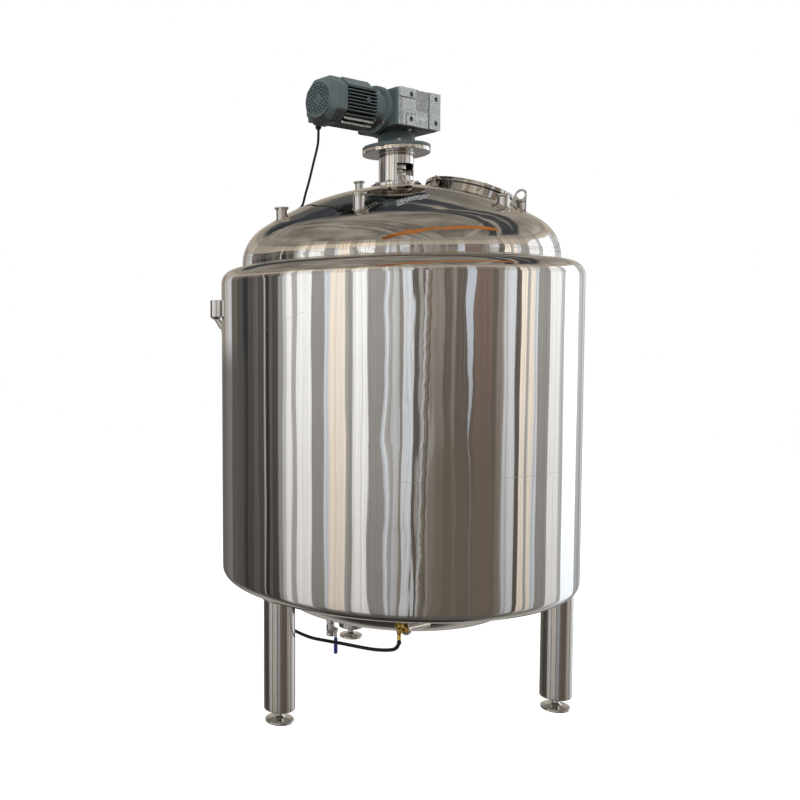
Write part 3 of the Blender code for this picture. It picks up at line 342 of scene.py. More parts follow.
def graded(tree, value, low, high, start, end):
    """A colour whose channels each go from start to end while a value goes from low to high."""
    channels = {index: remap(tree, value, low, high, start[index], end[index]) for index in range(3)}
    return add_node(tree, "ShaderNodeCombineColor", channels).outputs[0]


def rgba(colour, scale=1.0):
    return (colour[0] * scale, colour[1] * scale, colour[2] * scale, 1.0)


def effect_group(name, inputs, outputs):
    """An empty shader group with named inputs (name, kind, default) and outputs (name, kind)."""
    tree = bpy.data.node_groups.new(name, "ShaderNodeTree")
    for label, kind, default in inputs:
        tree.interface.new_socket(label, in_out="INPUT", socket_type=kind).default_value = default
    for label, kind in outputs:
        tree.interface.new_socket(label, in_out="OUTPUT", socket_type=kind)
    entry = tree.nodes.new("NodeGroupInput")
    leave = tree.nodes.new("NodeGroupOutput")
    return tree, entry.outputs, leave.inputs


FLOAT = "NodeSocketFloat"


def object_noise(tree, scale, detail=2.0, roughness=0.5):
    """Noise on the object's own coordinates, stretched by a scale for each axis."""
    place = add_node(tree, "ShaderNodeTexCoord").outputs["Object"]
    if not isinstance(scale, bpy.types.NodeSocket):
        scale = add_node(tree, "ShaderNodeCombineXYZ", {0: scale[0], 1: scale[1], 2: scale[2]}).outputs[0]
    spread = add_node(tree, "ShaderNodeVectorMath", {0: place, 1: scale}, operation="MULTIPLY").outputs[0]
    made = add_node(tree, "ShaderNodeTexNoise", {"Vector": spread, "Scale": 1.0, "Detail": detail,
                                                 "Roughness": roughness})
    return made.outputs[0]


def uneven_group():
    """Noise with its own scale round the piece and up it, as in rolled sheet and drawn polish."""
    tree, given, result = effect_group(
        "uneven_sheet", [("Around", FLOAT, 5.0), ("Upright", FLOAT, 1.2), ("Detail", FLOAT, 1.0)],
        [("Height", FLOAT)])
    scale = add_node(
        tree, "ShaderNodeCombineXYZ", {0: given["Around"], 1: given["Around"], 2: given["Upright"]})
    tree.links.new(object_noise(tree, scale.outputs[0], given["Detail"]), result["Height"])
    return tree


def smudge_group():
    """Faint cloudy marks and dust on a hard surface."""
    tree, given, result = effect_group(
        "smudges", [("Scale", FLOAT, 7.0), ("Contrast", FLOAT, 0.6)], [("Mask", FLOAT)])
    scale = add_node(tree, "ShaderNodeCombineXYZ", dict.fromkeys(range(3), given["Scale"]))
    cloud = object_noise(tree, scale.outputs[0], 5.0, 0.6)
    width = calc(tree, "ADD", times(tree, given["Contrast"], 0.5), 0.24)
    spread = calc(tree, "DIVIDE", calc(tree, "SUBTRACT", cloud, 0.5), width)
    tree.links.new(calc(tree, "ADD", spread, 0.5, clamp=True), result["Mask"])
    return tree


def facing_up(tree):
    """How far the surface faces up: 1 on top, 0 on a side, -1 underneath."""
    normal = add_node(tree, "ShaderNodeNewGeometry").outputs["Normal"]
    return add_node(tree, "ShaderNodeSeparateXYZ", {0: normal}).outputs[2]


def dust_group():
    """Dust that settles on what faces up, broken by noise."""
    tree, given, result = effect_group("settled_dust", [("Amount", FLOAT, 0.5)], [("Mask", FLOAT)])
    cloud = object_noise(tree, (26.0, 26.0, 26.0), 4.0, 0.65)
    flat = remap(tree, facing_up(tree), 0.35, 0.95)
    tree.links.new(calc(tree, "MULTIPLY", times(tree, flat, cloud), given["Amount"], clamp=True),
                   result["Mask"])
    return tree


def band_group():
    """Azimuth and height on the jacket: the surface's angle round the axis in degrees, and its height."""
    tree, _, result = effect_group("round_the_tank", [], [("Azimuth", FLOAT), ("Height", FLOAT)])
    place = add_node(tree, "ShaderNodeTexCoord").outputs["Object"]
    parts = add_node(tree, "ShaderNodeSeparateXYZ", {0: place}).outputs
    angle = calc(tree, "ARCTAN2", parts[1], parts[0])
    tree.links.new(calc(tree, "DEGREES", angle), result["Azimuth"])
    tree.links.new(parts[2], result["Height"])
    return tree


def scratch_group():
    """A long straight scratch on the jacket, from one azimuth to another."""
    tree, given, result = effect_group(
        "long_scratch", [("Azimuth", FLOAT, 0.0), ("Height", FLOAT, 0.0), ("From", FLOAT, -90.0),
                         ("To", FLOAT, -70.0), ("Start height", FLOAT, 1.2), ("Rise", FLOAT, 0.01),
                         ("Width", FLOAT, 0.0012)], [("Mask", FLOAT)])
    along = calc(tree, "SUBTRACT", given["Azimuth"], given["From"])
    line = calc(tree, "ADD", times(tree, along, given["Rise"]), given["Start height"])
    off = apart(tree, given["Height"], line)
    near = calc(tree, "LESS_THAN", off, given["Width"])
    inside = times(tree, calc(tree, "GREATER_THAN", given["Azimuth"], given["From"]),
                   calc(tree, "LESS_THAN", given["Azimuth"], given["To"]))
    tree.links.new(times(tree, near, inside), result["Mask"])
    return tree


GROUP_MAKERS = {"uneven_sheet": uneven_group, "smudges": smudge_group, "settled_dust": dust_group,
                "round_the_tank": band_group, "long_scratch": scratch_group}


def effect(tree, name, **inputs):
    """A shared effect placed in a material with its own values; returns its outputs."""
    group = bpy.data.node_groups.get(name) or GROUP_MAKERS[name]()
    given = {key.replace("_", " ").capitalize(): value for key, value in inputs.items()}
    return add_node(tree, "ShaderNodeGroup", given, node_tree=group).outputs


# Finishes

def blank_material(name, metallic, roughness):
    made = bpy.data.materials.new(f"tank_{name}")
    made.use_nodes = True
    shader = made.node_tree.nodes["Principled BSDF"]
    shader.inputs["Metallic"].default_value = metallic
    shader.inputs["Roughness"].default_value = roughness
    return made, made.node_tree, shader


def bump(tree, height, distance, below=None):
    made = add_node(tree, "ShaderNodeBump", {"Height": height, "Distance": distance, "Strength": 1.0})
    if below is not None:
        tree.links.new(below, made.inputs["Normal"])
    return made.outputs[0]


def wire(tree, shader, colour, gloss, normal):
    """Join a material's colour, roughness and, where it has one, normal to its shader."""
    tree.links.new(colour, shader.inputs["Base Color"])
    tree.links.new(gloss, shader.inputs["Roughness"])
    if normal is not None:
        tree.links.new(normal, shader.inputs["Normal"])


def metal(name, tint, rough, spread, smudge=7.0, wave=None, lines=None):
    """Bare metal: a tint that drifts a little, smudged gloss, a slow wave and fine polishing lines."""
    made, tree, shader = blank_material(name, 1.0, rough)
    mask = effect(tree, "smudges", scale=smudge, contrast=0.7)["Mask"]
    colour = blend_colours(tree, mask, rgba(tint, 0.93), rgba(tint, 1.04))
    normal = None
    for part in filter(None, (wave, lines)):
        around, upright, depth = part
        height = effect(tree, "uneven_sheet", around=around, upright=upright, detail=1.5)["Height"]
        normal = bump(tree, height, depth, normal)
    wire(tree, shader, colour, remap(tree, mask, 0.0, 1.0, rough - spread, rough + spread), normal)
    return made


def jacket_finish(tint):
    """Mirror sheet with the weld that runs up it, the girth line and the scratches."""
    made, tree, shader = blank_material("jacket_mirror", 1.0, 0.05)
    where = effect(tree, "round_the_tank")
    smudge = effect(tree, "smudges", scale=5.0, contrast=0.7)["Mask"]
    meander = remap(tree, object_noise(tree, (0.0, 0.0, 13.0), 2.0, 0.6), 0.25, 0.75, -0.45, 0.45)
    centre = calc(tree, "ADD", times(tree, where["Height"], SEAM_LEAN), SEAM_AZIMUTH)
    beside = calc(tree, "SUBTRACT", calc(tree, "SUBTRACT", where["Azimuth"], centre), meander)
    off = calc(tree, "ABSOLUTE", beside)
    bead = remap(tree, off, 0.25, 0.95, 1.0, 0.0, smooth=True)
    pulled = remap(tree, off, 0.0, 10.0, 1.0, 0.0, smooth=True)
    marks = [effect(tree, "long_scratch", azimuth=where["Azimuth"], height=where["Height"], **values)["Mask"]
             for values in SCRATCHES]
    scratched = marks[0]
    for mark in marks[1:]:
        scratched = calc(tree, "MAXIMUM", scratched, mark)
    colour = blend_colours(tree, smudge, rgba(tint, 0.96), rgba(tint, 1.03))
    colour = blend_colours(tree, times(tree, bead, 0.45), colour, rgba(SEAM_TINT))
    colour = blend_colours(tree, times(tree, scratched, 0.35), colour, rgba(SCRATCH_TINT))
    gloss = remap(tree, smudge, 0.0, 1.0, 0.022, 0.048)
    gloss = calc(tree, "ADD", gloss, times(tree, calc(tree, "MAXIMUM", bead, scratched), 0.12))
    slow = effect(tree, "uneven_sheet", around=9.0, upright=1.6, detail=1.0)["Height"]
    normal = bump(tree, slow, 0.0011)
    ripple = effect(tree, "uneven_sheet", around=46.0, upright=4.0, detail=0.5)["Height"]
    normal = bump(tree, times(tree, ripple, pulled), 0.00045, normal)
    sway = calc(tree, "SUBTRACT", object_noise(tree, (0.0, 0.0, 3.4), 2.0, 0.4), 0.5)
    sway = times(tree, times(tree, sway, calc(tree, "DIVIDE", beside, 10.0)),
                 remap(tree, off, 5.0, 15.0, 1.0, 0.0, smooth=True))
    normal = bump(tree, sway, 0.0085, normal)
    lump = object_noise(tree, (90.0, 90.0, 62.0), 2.0)
    normal = bump(tree, times(tree, bead, calc(tree, "ADD", lump, 0.8)), 0.0006, normal)
    fine = effect(tree, "uneven_sheet", around=240.0, upright=7.0, detail=2.0)["Height"]
    wire(tree, shader, colour, gloss, bump(tree, fine, 0.000012, normal))
    return made


def paint_finish(name, colour, rough=0.42):
    """Machine paint over a casting: slight orange peel, dust on top, rubbed patches, a dark underside."""
    made, tree, shader = blank_material(name, 0.0, rough)
    patch = effect(tree, "smudges", scale=22.0, contrast=0.8)["Mask"]
    dust = effect(tree, "settled_dust", amount=0.55)["Mask"]
    body = blend_colours(tree, patch, rgba(colour, 0.86), rgba(colour, 1.12))
    body = blend_colours(tree, dust, body, rgba(DUST_TINT))
    # Painted shade: faces that look down are darkened towards a near-black tint.
    under = remap(tree, facing_up(tree), -0.75, -0.25, 0.85, 0.0, smooth=True)
    body = blend_colours(tree, under, body, rgba(UNDERSIDE_SHADE_TINT))
    peel = bump(tree, object_noise(tree, (210.0, 210.0, 210.0), 2.0), 0.00035)
    wire(tree, shader, body, remap(tree, patch, 0.0, 1.0, rough - 0.06, rough + 0.08), peel)
    return made


def casting_finish(name, colour):
    """Bare machined and shot-blasted casting: speckled grey."""
    made, tree, shader = blank_material(name, 0.25, 0.5)
    speck = object_noise(tree, (150.0, 150.0, 150.0), 3.0, 0.8)
    cloud = effect(tree, "smudges", scale=30.0, contrast=0.8)["Mask"]
    body = blend_colours(tree, remap(tree, speck, 0.36, 0.64), rgba(colour, 0.50), rgba(colour, 1.35))
    body = blend_colours(tree, times(tree, cloud, 0.35), body, rgba(colour, 0.72))
    wire(tree, shader, body, remap(tree, speck, 0.3, 0.7, 0.42, 0.60), bump(tree, speck, 0.0003))
    return made


def soft_finish(name, colour, rough, grain):
    """Rubber or plastic: a matt skin with a fine grain and a few scuffs."""
    made, tree, shader = blank_material(name, 0.0, rough)
    scuff = effect(tree, "smudges", scale=30.0, contrast=0.8)["Mask"]
    body = blend_colours(tree, scuff, rgba(colour, 0.85), rgba(colour, 1.35))
    skin = bump(tree, object_noise(tree, (grain, grain, grain), 2.0), 0.00015)
    wire(tree, shader, body, remap(tree, scuff, 0.0, 1.0, rough - 0.08, rough + 0.10), skin)
    return made


def finish(name):
    """A finish by name, made the first time it is asked for."""
    known = bpy.data.materials.get(f"tank_{name}")
    if known:
        return known
    shell, fittings = bpy.context.scene.tank_shell, bpy.context.scene.tank_fittings
    steel, satin = tuple(shell.steel_tint), tuple(shell.satin_tint)
    metals = {
        "dome_mirror": (steel, 0.018, 0.010, 5.0, (8.0, 8.0, 0.0022), (90.0, 90.0, 0.00001)),
        "polished_part": (steel, 0.07, 0.03, 20.0, (26.0, 26.0, 0.00025), (300.0, 60.0, 0.00001)),
        "satin_tube": (satin, 0.15, 0.04, 14.0, (12.0, 3.0, 0.0003), (700.0, 12.0, 0.00002)),
        "satin_part": (satin, 0.24, 0.06, 30.0, None, (520.0, 520.0, 0.00003)),
        "dish_steel": (steel, 0.20, 0.05, 8.0, (7.0, 7.0, 0.0008), (260.0, 260.0, 0.00002)),
        # Painted dark reflection for the underside of the top flange.
        "painted_shade_steel": (FLANGE_SHADE_TINT, 0.16, 0.05, 20.0, (20.0, 20.0, 0.0008)),
        "bolt_steel": (BOLT_TINT, 0.22, 0.07, 60.0),
        "brass": (tuple(fittings.brass), 0.16, 0.07, 60.0, None, (500.0, 500.0, 0.00004)),
    }
    soft = {
        "black_rubber": (tuple(fittings.rubber), 0.42, 300.0),
        # Near-black for the oil plug and the fan blades, and painted shade between the fins, behind the
        # grille, in bores and along recesses.
        "black_and_painted_shade": (BLACK_AND_SHADE_TINT, 0.75, 80.0),
        "blue_sleeve": (tuple(fittings.sleeve), 0.36, 260.0),
    }
    if name in metals:
        return metal(name, *metals[name])
    if name in soft:
        return soft_finish(name, *soft[name])
    if name in CASTINGS:
        return casting_finish(name, CASTINGS[name])
    if name == "jacket_mirror":
        return jacket_finish(steel)
    return paint_finish(name, tuple(bpy.context.scene.tank_drive.paint))


# Mesh helpers

def mesh_of(built, name):
    """A mesh from a filled bmesh, which is freed."""
    mesh = bpy.data.meshes.new(name)
    built.to_mesh(mesh)
    built.free()
    return mesh


def add_object(name, data):
    made = bpy.data.objects.new(name, data)
    bpy.context.scene.collection.objects.link(made)
    return made


def piece(name, built, look, body="tank", nodes=(), sharp=35.0, bevel=0.0, weighted=True):
    """A finished piece from a filled bmesh: shaded, coloured, riding on its body, standing for its nodes."""
    bmesh.ops.remove_doubles(built, verts=built.verts, dist=0.0000005)
    bmesh.ops.recalc_face_normals(built, faces=built.faces)
    mesh = mesh_of(built, name)
    return mesh_piece(name, mesh, look, body, nodes, sharp, bevel, weighted)


def mesh_piece(name, mesh, look, body="tank", nodes=(), sharp=35.0, bevel=0.0, weighted=True):
    mesh.name = name
    if sharp:
        mesh.shade_smooth()
        mesh.set_sharp_from_angle(angle=math.radians(sharp))
    mesh.materials.clear()
    mesh.materials.append(finish(look))
    made = add_object(name, mesh)
    if bevel:
        edge = made.modifiers.new("soft_edges", "BEVEL")
        edge.width = bevel
        edge.segments = 2
        edge.limit_method = "ANGLE"
        edge.angle_limit = math.radians(32.0)
        edge.harden_normals = False
    if weighted:
        weigh = made.modifiers.new("flat_faces", "WEIGHTED_NORMAL")
        weigh.keep_sharp = True
        weigh.weight = 90
    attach(made, body)
    if nodes:
        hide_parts(*nodes)
    return made


def weld_piece(name, built, look="polished_part"):
    return piece(name, built, look, sharp=60.0, weighted=False)


def joined(*parts):
    """Several filled bmeshes as one, each left a closed shell of its own."""
    whole = bmesh.new()
    for part in parts:
        mesh = mesh_of(part, "part")
        whole.from_mesh(mesh)
        bpy.data.meshes.remove(mesh)
    return whole


def arc(centre, radius, start, end, steps):
    """Points of an arc in the (r, z) plane, angles in degrees."""
    points = []
    for step in range(steps + 1):
        angle = math.radians(start + (end - start) * step / steps)
        points.append((centre[0] + radius * math.cos(angle), centre[1] + radius * math.sin(angle)))
    return points


def softened(outline, radius, steps=3, turn=25.0):
    """A closed outline with each sharp corner off the axis rounded."""
    result = []
    count = len(outline)
    for index, point in enumerate(outline):
        here = Vector(point)
        before = Vector(outline[index - 1]) - here
        after = Vector(outline[(index + 1) % count]) - here
        if here.x < 1e-6 or before.length < 1e-7 or after.length < 1e-7:
            result.append(tuple(here))
            continue
        if math.degrees(before.angle(-after)) < turn:
            result.append(tuple(here))
            continue
        first = here + before.normalized() * min(radius, before.length * 0.45)
        last = here + after.normalized() * min(radius, after.length * 0.45)
        for step in range(steps + 1):
            t = step / steps
            result.append(tuple(first * (1 - t) ** 2 + here * (2 * t * (1 - t)) + last * t ** 2))
    return result


def turned(outline, sides=48, place=None, soft=0.0):
    """A closed (r, z) outline turned about Z, then placed. A point with r = 0 becomes a pole."""
    if soft:
        outline = softened(outline, soft)
    built = bmesh.new()
    rings = []
    for radius, height in outline:
        if radius < 1e-6:
            rings.append([built.verts.new((0.0, 0.0, height))])
        else:
            rings.append([built.verts.new((radius * math.cos(2.0 * math.pi * side / sides),
                                           radius * math.sin(2.0 * math.pi * side / sides), height))
                          for side in range(sides)])
    for index, ring in enumerate(rings):
        follow = rings[(index + 1) % len(rings)]
        if len(ring) == 1 and len(follow) == 1:
            continue
        for side in range(sides):
            other = (side + 1) % sides
            corners = [ring[side % len(ring)], ring[other % len(ring)],
                       follow[other % len(follow)], follow[side % len(follow)]]
            built.faces.new(list(dict.fromkeys(corners)))
    if place is not None:
        built.transform(place)
    return built


def drum(inner, outer, low, high, sides=48, place=None, soft=0.0):
    """A plain turned ring, or a disc where its inner radius is 0."""
    return turned([(inner, low), (outer, low), (outer, high), (inner, high)], sides, place, soft)


def block(low, high, place=None):
    built = bmesh.new()
    bmesh.ops.create_cube(built, size=1.0)
    for vertex in built.verts:
        for axis in range(3):
            vertex.co[axis] = low[axis] if vertex.co[axis] < 0 else high[axis]
    if place is not None:
        built.transform(place)
    return built


def round_edges(built, radius):
    bmesh.ops.bevel(built, geom=built.edges[:], offset=radius, segments=2, affect="EDGES")


def raised(outline, low, high, place=None):
    """A flat (x, y) outline raised from low to high along Z."""
    built = bmesh.new()
    face = built.faces.new([built.verts.new((x, y, low)) for x, y in outline])
    grown = bmesh.ops.extrude_face_region(built, geom=[face])
    for item in grown["geom"]:
        if isinstance(item, bmesh.types.BMVert):
            item.co.z = high
    if place is not None:
        built.transform(place)
    return built


def less(solid, *cutters):
    """A solid with others cut out of it."""
    bmesh.ops.recalc_face_normals(solid, faces=solid.faces)
    mesh = mesh_of(solid, "solid")
    target = add_object("solid", mesh)
    tools = []
    for cutter in cutters:
        bmesh.ops.recalc_face_normals(cutter, faces=cutter.faces)
        tool_mesh = mesh_of(cutter, "tool")
        tool = add_object("tool", tool_mesh)
        tools.append(tool)
        modifier = target.modifiers.new("cut", "BOOLEAN")
        modifier.operation = "DIFFERENCE"
        modifier.solver = "EXACT"
        modifier.object = tool
    graph = bpy.context.evaluated_depsgraph_get()
    result = bpy.data.meshes.new_from_object(target.evaluated_get(graph), depsgraph=graph)
    built = bmesh.new()
    built.from_mesh(result)
    for item in tools + [target]:
        bpy.data.objects.remove(item, do_unlink=True)
    bpy.data.meshes.remove(result)
    return built


def node_copy(node):
    """The packed solid's own mesh, welded and with its flat faces whole again."""
    built = bmesh.new()
    built.from_mesh(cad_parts[node].data)
    bmesh.ops.remove_doubles(built, verts=built.verts, dist=0.000002)
    bmesh.ops.dissolve_limit(built, angle_limit=math.radians(0.3), verts=built.verts, edges=built.edges)
    return built


def tube(points, radius, sides=12, closed=False):
    """A round tube along points; open ends are capped."""
    built = bmesh.new()
    rings = []
    count = len(points)
    side_way = None
    for index, point in enumerate(points):
        if closed:
            before, after = points[index - 1], points[(index + 1) % count]
        else:
            before, after = points[max(index - 1, 0)], points[min(index + 1, count - 1)]
        ahead = (Vector(after) - Vector(before)).normalized()
        if side_way is None:
            side_way = ahead.orthogonal().normalized()
        side_way = (side_way - ahead * side_way.dot(ahead)).normalized()
        up_way = ahead.cross(side_way)
        rings.append([built.verts.new(Vector(point) + radius * (
            side_way * math.cos(2 * math.pi * k / sides) + up_way * math.sin(2 * math.pi * k / sides)))
            for k in range(sides)])
    pairs = list(zip(rings, rings[1:]))
    if closed:
        shift = min(range(sides), key=lambda k: (rings[-1][k].co - rings[0][0].co).length)
        pairs.append((rings[-1][shift:] + rings[-1][:shift], rings[0]))
    else:
        built.faces.new(rings[0])
        built.faces.new(rings[-1])
    for first, second in pairs:
        for k in range(sides):
            other = (k + 1) % sides
            built.faces.new((first[k], first[other], second[other], second[k]))
    return built


def rod(start, end, radius, sides=16):
    return tube([start, Vector(start).lerp(Vector(end), 0.5), end], radius, sides)


# Quarter and half turns, named by where they carry Z
TO_X, TO_MINUS_X = Matrix.Rotation(math.pi / 2, 4, "Y"), Matrix.Rotation(-math.pi / 2, 4, "Y")
TO_Y, TO_MINUS_Y = Matrix.Rotation(-math.pi / 2, 4, "X"), Matrix.Rotation(math.pi / 2, 4, "X")
TO_GROUND = Matrix.Rotation(math.pi, 4, "X")


def at(x, y, z):
    return Matrix.Translation((x, y, z))


def placed(location, azimuth=0.0, tilt=0.0):
    """A place on the tank: turned to an azimuth, then tilted outwards, in degrees."""
    turn = Matrix.Rotation(math.radians(azimuth), 4, "Z")
    lean = Matrix.Rotation(math.radians(tilt), 4, "Y")
    return Matrix.Translation(location) @ turn @ lean


def on_circle(distance, azimuth, height=0.0):
    angle = math.radians(azimuth)
    return Vector((distance * math.cos(angle), distance * math.sin(angle), height))


def circle_of(distance, height, count):
    """Points evenly round the tank's axis."""
    return [on_circle(distance, step * 360.0 / count, height) for step in range(count)]


def along_motor(distance):
    """Frame whose Z runs along -Y from the motor's axis at a distance from the tank's axis."""
    return at(0.0, -distance, MOTOR_HEIGHT) @ TO_MINUS_Y


def head_join(radius, knuckle, crown):
    """Angle at which a dished head's crown meets its knuckle, and how far the crown's centre lies below."""
    offset, reach = radius - knuckle, crown - knuckle
    return math.degrees(math.asin(offset / reach)), math.sqrt(reach ** 2 - offset ** 2)


def head_curve(radius, knuckle, crown, steps_knuckle=14, steps_crown=26):
    """Dished head from its rim to its pole, as (r, rise above the knuckle's centre line)."""
    join, drop = head_join(radius, knuckle, crown)
    points = arc((radius - knuckle, 0.0), knuckle, 0.0, 90.0 - join, steps_knuckle)
    crown_points = arc((0.0, -drop), crown, 90.0 - join, 90.0, steps_crown)[1:]
    crown_points[-1] = (0.0, crown - drop)
    return points + crown_points


def dome_height(distance):
    """Height of the top head's outer face at a distance from the axis."""
    join, drop = head_join(VESSEL_RADIUS, HEAD_KNUCKLE, HEAD_CROWN)
    if distance <= HEAD_CROWN * math.sin(math.radians(join)):
        return HEAD_RIM - drop + math.sqrt(HEAD_CROWN ** 2 - distance ** 2)
    across = distance - (VESSEL_RADIUS - HEAD_KNUCKLE)
    return HEAD_RIM + math.sqrt(max(HEAD_KNUCKLE ** 2 - across ** 2, 0.0))


def on_dome(spots):
    """The same places in plan, carried to the dome's outer face."""
    return [(spot.x, spot.y, dome_height(math.hypot(spot.x, spot.y))) for spot in spots]


def dome_normal(point):
    """Outward direction of the top head's outer face at a point on it."""
    join, drop = head_join(VESSEL_RADIUS, HEAD_KNUCKLE, HEAD_CROWN)
    across = math.hypot(point.x, point.y)
    if across <= HEAD_CROWN * math.sin(math.radians(join)):
        centre = Vector((0.0, 0.0, HEAD_RIM - drop))
    else:
        ring = (VESSEL_RADIUS - HEAD_KNUCKLE) / across
        centre = Vector((point.x * ring, point.y * ring, min(point.z, HEAD_RIM)))
    return (point - centre).normalized()


def follow_dome(mesh):
    """Give the dome's outer face its true normals, so that cut holes leave no marks in the mirror."""
    normals = []
    for face in mesh.polygons:
        for corner in face.loop_indices:
            point = mesh.vertices[mesh.loops[corner].vertex_index].co
            true = dome_normal(point)
            on_face = face.normal.dot(true) > 0.97 and point.z > JACKET_TOP
            normals.append(true if on_face else Vector((0.0, 0.0, 0.0)))
    mesh.normals_split_custom_set(normals)


# Geometry Nodes

def geometry_tree(name, sockets):
    """An empty geometry tree with named inputs (name, kind, default)."""
    tree = bpy.data.node_groups.new(name, "GeometryNodeTree")
    tree.interface.new_socket("Geometry", in_out="OUTPUT", socket_type="NodeSocketGeometry")
    for label, kind, default in sockets:
        socket = tree.interface.new_socket(label, in_out="INPUT", socket_type=kind)
        if default is not None:
            socket.default_value = default
    return tree, tree.nodes.new("NodeGroupInput").outputs, tree.nodes.new("NodeGroupOutput").inputs


def put_out(tree, shape, given, result):
    """Make a shape's instances real, give it its finish and hand it to the tree's output."""
    real = add_node(tree, "GeometryNodeRealizeInstances", {0: shape}).outputs[0]
    coloured = add_node(tree, "GeometryNodeSetMaterial", {"Geometry": real, "Material": given["Finish"]})
    tree.links.new(coloured.outputs[0], result[0])


def ring_tree():
    """Like parts evenly round a circle, each turned to face out."""
    known = bpy.data.node_groups.get("ring_of_parts")
    if known:
        return known
    tree, given, result = geometry_tree("ring_of_parts", [
        ("Part", "NodeSocketObject", None), ("Count", "NodeSocketInt", 8), ("Radius", FLOAT, 0.1),
        ("First angle", FLOAT, 0.0), ("Finish", "NodeSocketMaterial", None)])
    circle = add_node(tree, "GeometryNodeMeshCircle", {"Vertices": given["Count"], "Radius": given["Radius"]})
    step = calc(tree, "DIVIDE", 2.0 * math.pi, given["Count"])
    place = add_node(tree, "GeometryNodeInputIndex").outputs[0]
    turn = add_node(tree, "ShaderNodeCombineXYZ", {2: times(tree, place, step)}).outputs[0]
    part = add_node(tree, "GeometryNodeObjectInfo", {"Object": given["Part"]}).outputs["Geometry"]
    spread = add_node(tree, "GeometryNodeInstanceOnPoints", {
        "Points": circle.outputs[0], "Instance": part, "Rotation": turn}).outputs[0]
    whole_turn = add_node(tree, "ShaderNodeCombineXYZ", {2: given["First angle"]}).outputs[0]
    aimed = add_node(tree, "GeometryNodeTransform", {"Geometry": spread, "Rotation": whole_turn}).outputs[0]
    put_out(tree, aimed, given, result)
    return tree


def grille_tree():
    """A round plate pierced by staggered rows of slots, solid round its hub and its rim."""
    tree, given, result = geometry_tree("slotted_plate", [
        ("Slot", "NodeSocketObject", None), ("Radius", FLOAT, 0.057), ("Thickness", FLOAT, 0.0015),
        ("Pitch across", FLOAT, 0.0132), ("Pitch up", FLOAT, 0.0074), ("Rim", FLOAT, 0.0515),
        ("Hub", FLOAT, 0.0165), ("Finish", "NodeSocketMaterial", None)])
    rows, columns = 15, 9
    size_x = times(tree, given["Pitch across"], columns - 1.0)
    size_y = times(tree, given["Pitch up"], rows - 1.0)
    grid = add_node(tree, "GeometryNodeMeshGrid", {"Size X": size_x, "Size Y": size_y, "Vertices X": columns,
                                                   "Vertices Y": rows}).outputs[0]
    spot = add_node(tree, "GeometryNodeInputPosition").outputs[0]
    up = add_node(tree, "ShaderNodeSeparateXYZ", {0: spot}).outputs[1]
    row = calc(tree, "ROUND", calc(tree, "DIVIDE", up, given["Pitch up"]))
    odd = calc(tree, "FLOORED_MODULO", row, 2.0)
    shift = add_node(tree, "ShaderNodeCombineXYZ", {
        0: times(tree, times(tree, odd, given["Pitch across"]), 0.5)}).outputs[0]
    staggered = add_node(tree, "GeometryNodeSetPosition", {"Geometry": grid, "Offset": shift}).outputs[0]
    reach = add_node(tree, "ShaderNodeVectorMath", {0: spot}, operation="LENGTH").outputs["Value"]
    outside = calc(tree, "GREATER_THAN", reach, given["Rim"])
    inside = calc(tree, "LESS_THAN", reach, given["Hub"])
    unwanted = calc(tree, "MAXIMUM", outside, inside)
    kept = add_node(tree, "GeometryNodeDeleteGeometry", {"Geometry": staggered, "Selection": unwanted},
                    domain="POINT").outputs[0]
    slot = add_node(tree, "GeometryNodeObjectInfo", {"Object": given["Slot"]}).outputs["Geometry"]
    slots = add_node(tree, "GeometryNodeInstanceOnPoints", {"Points": kept, "Instance": slot}).outputs[0]
    loose = add_node(tree, "GeometryNodeRealizeInstances", {0: slots}).outputs[0]
    plate = add_node(tree, "GeometryNodeMeshCylinder", {"Vertices": 96, "Radius": given["Radius"],
                                                        "Depth": given["Thickness"]}).outputs[0]
    pierced = add_node(tree, "GeometryNodeMeshBoolean", operation="DIFFERENCE", solver="EXACT")
    tree.links.new(plate, pierced.inputs["Mesh 1"])
    tree.links.new(loose, pierced.inputs["Mesh 2"])
    put_out(tree, pierced.outputs[0], given, result)
    return tree


def grown(tree, values, place=None):
    """The plain mesh that a geometry tree makes with these values."""
    holder = add_object("holder", bpy.data.meshes.new("holder"))
    modifier = holder.modifiers.new("tree", "NODES")
    modifier.node_group = tree
    for item in tree.interface.items_tree:
        if item.item_type == "SOCKET" and item.in_out == "INPUT" and item.name in values:
            modifier[item.identifier] = values[item.name]
    graph = bpy.context.evaluated_depsgraph_get()
    mesh = bpy.data.meshes.new_from_object(holder.evaluated_get(graph), depsgraph=graph)
    bpy.data.objects.remove(holder, do_unlink=True)
    if place is not None:
        mesh.transform(place)
    return mesh


def pattern_part(built, smooth=35.0):
    """A part that a geometry tree repeats; removed again once the tree has run."""
    bmesh.ops.recalc_face_normals(built, faces=built.faces)
    mesh = mesh_of(built, "pattern")
    mesh.shade_smooth()
    mesh.set_sharp_from_angle(angle=math.radians(smooth))
    part = add_object("pattern", mesh)
    return part


def ring_piece(name, built, count, radius, first, look, place, body="tank"):
    """Like parts round a circle as one piece."""
    part = pattern_part(built)
    mesh = grown(ring_tree(), {"Part": part, "Count": count, "Radius": radius,
                               "First angle": math.radians(first), "Finish": finish(look)}, place)
    bpy.data.objects.remove(part, do_unlink=True)
    return mesh_piece(name, mesh, look, body, sharp=0.0, weighted=False)


def hex_bolt(width, height, washer=1.25, stub=0.0):
    """A hexagon head on its washer, base at z = 0, across-flats width; stub is thread that stands above."""
    radius = width / math.sqrt(3.0)
    disc = drum(0.0, radius * washer, 0.0, height * 0.16, 20)
    head = turned([(0.0, height * 0.16), (radius, height * 0.16), (radius, height * 0.88),
                   (radius * 0.88, height), (0.0, height)], 6)
    if not stub:
        return joined(disc, head)
    thread = turned([(0.0, height), (radius * 0.5, height), (radius * 0.5, height + stub - 0.0008),
                     (radius * 0.42, height + stub), (0.0, height + stub)], 12)
    return joined(disc, head, thread)


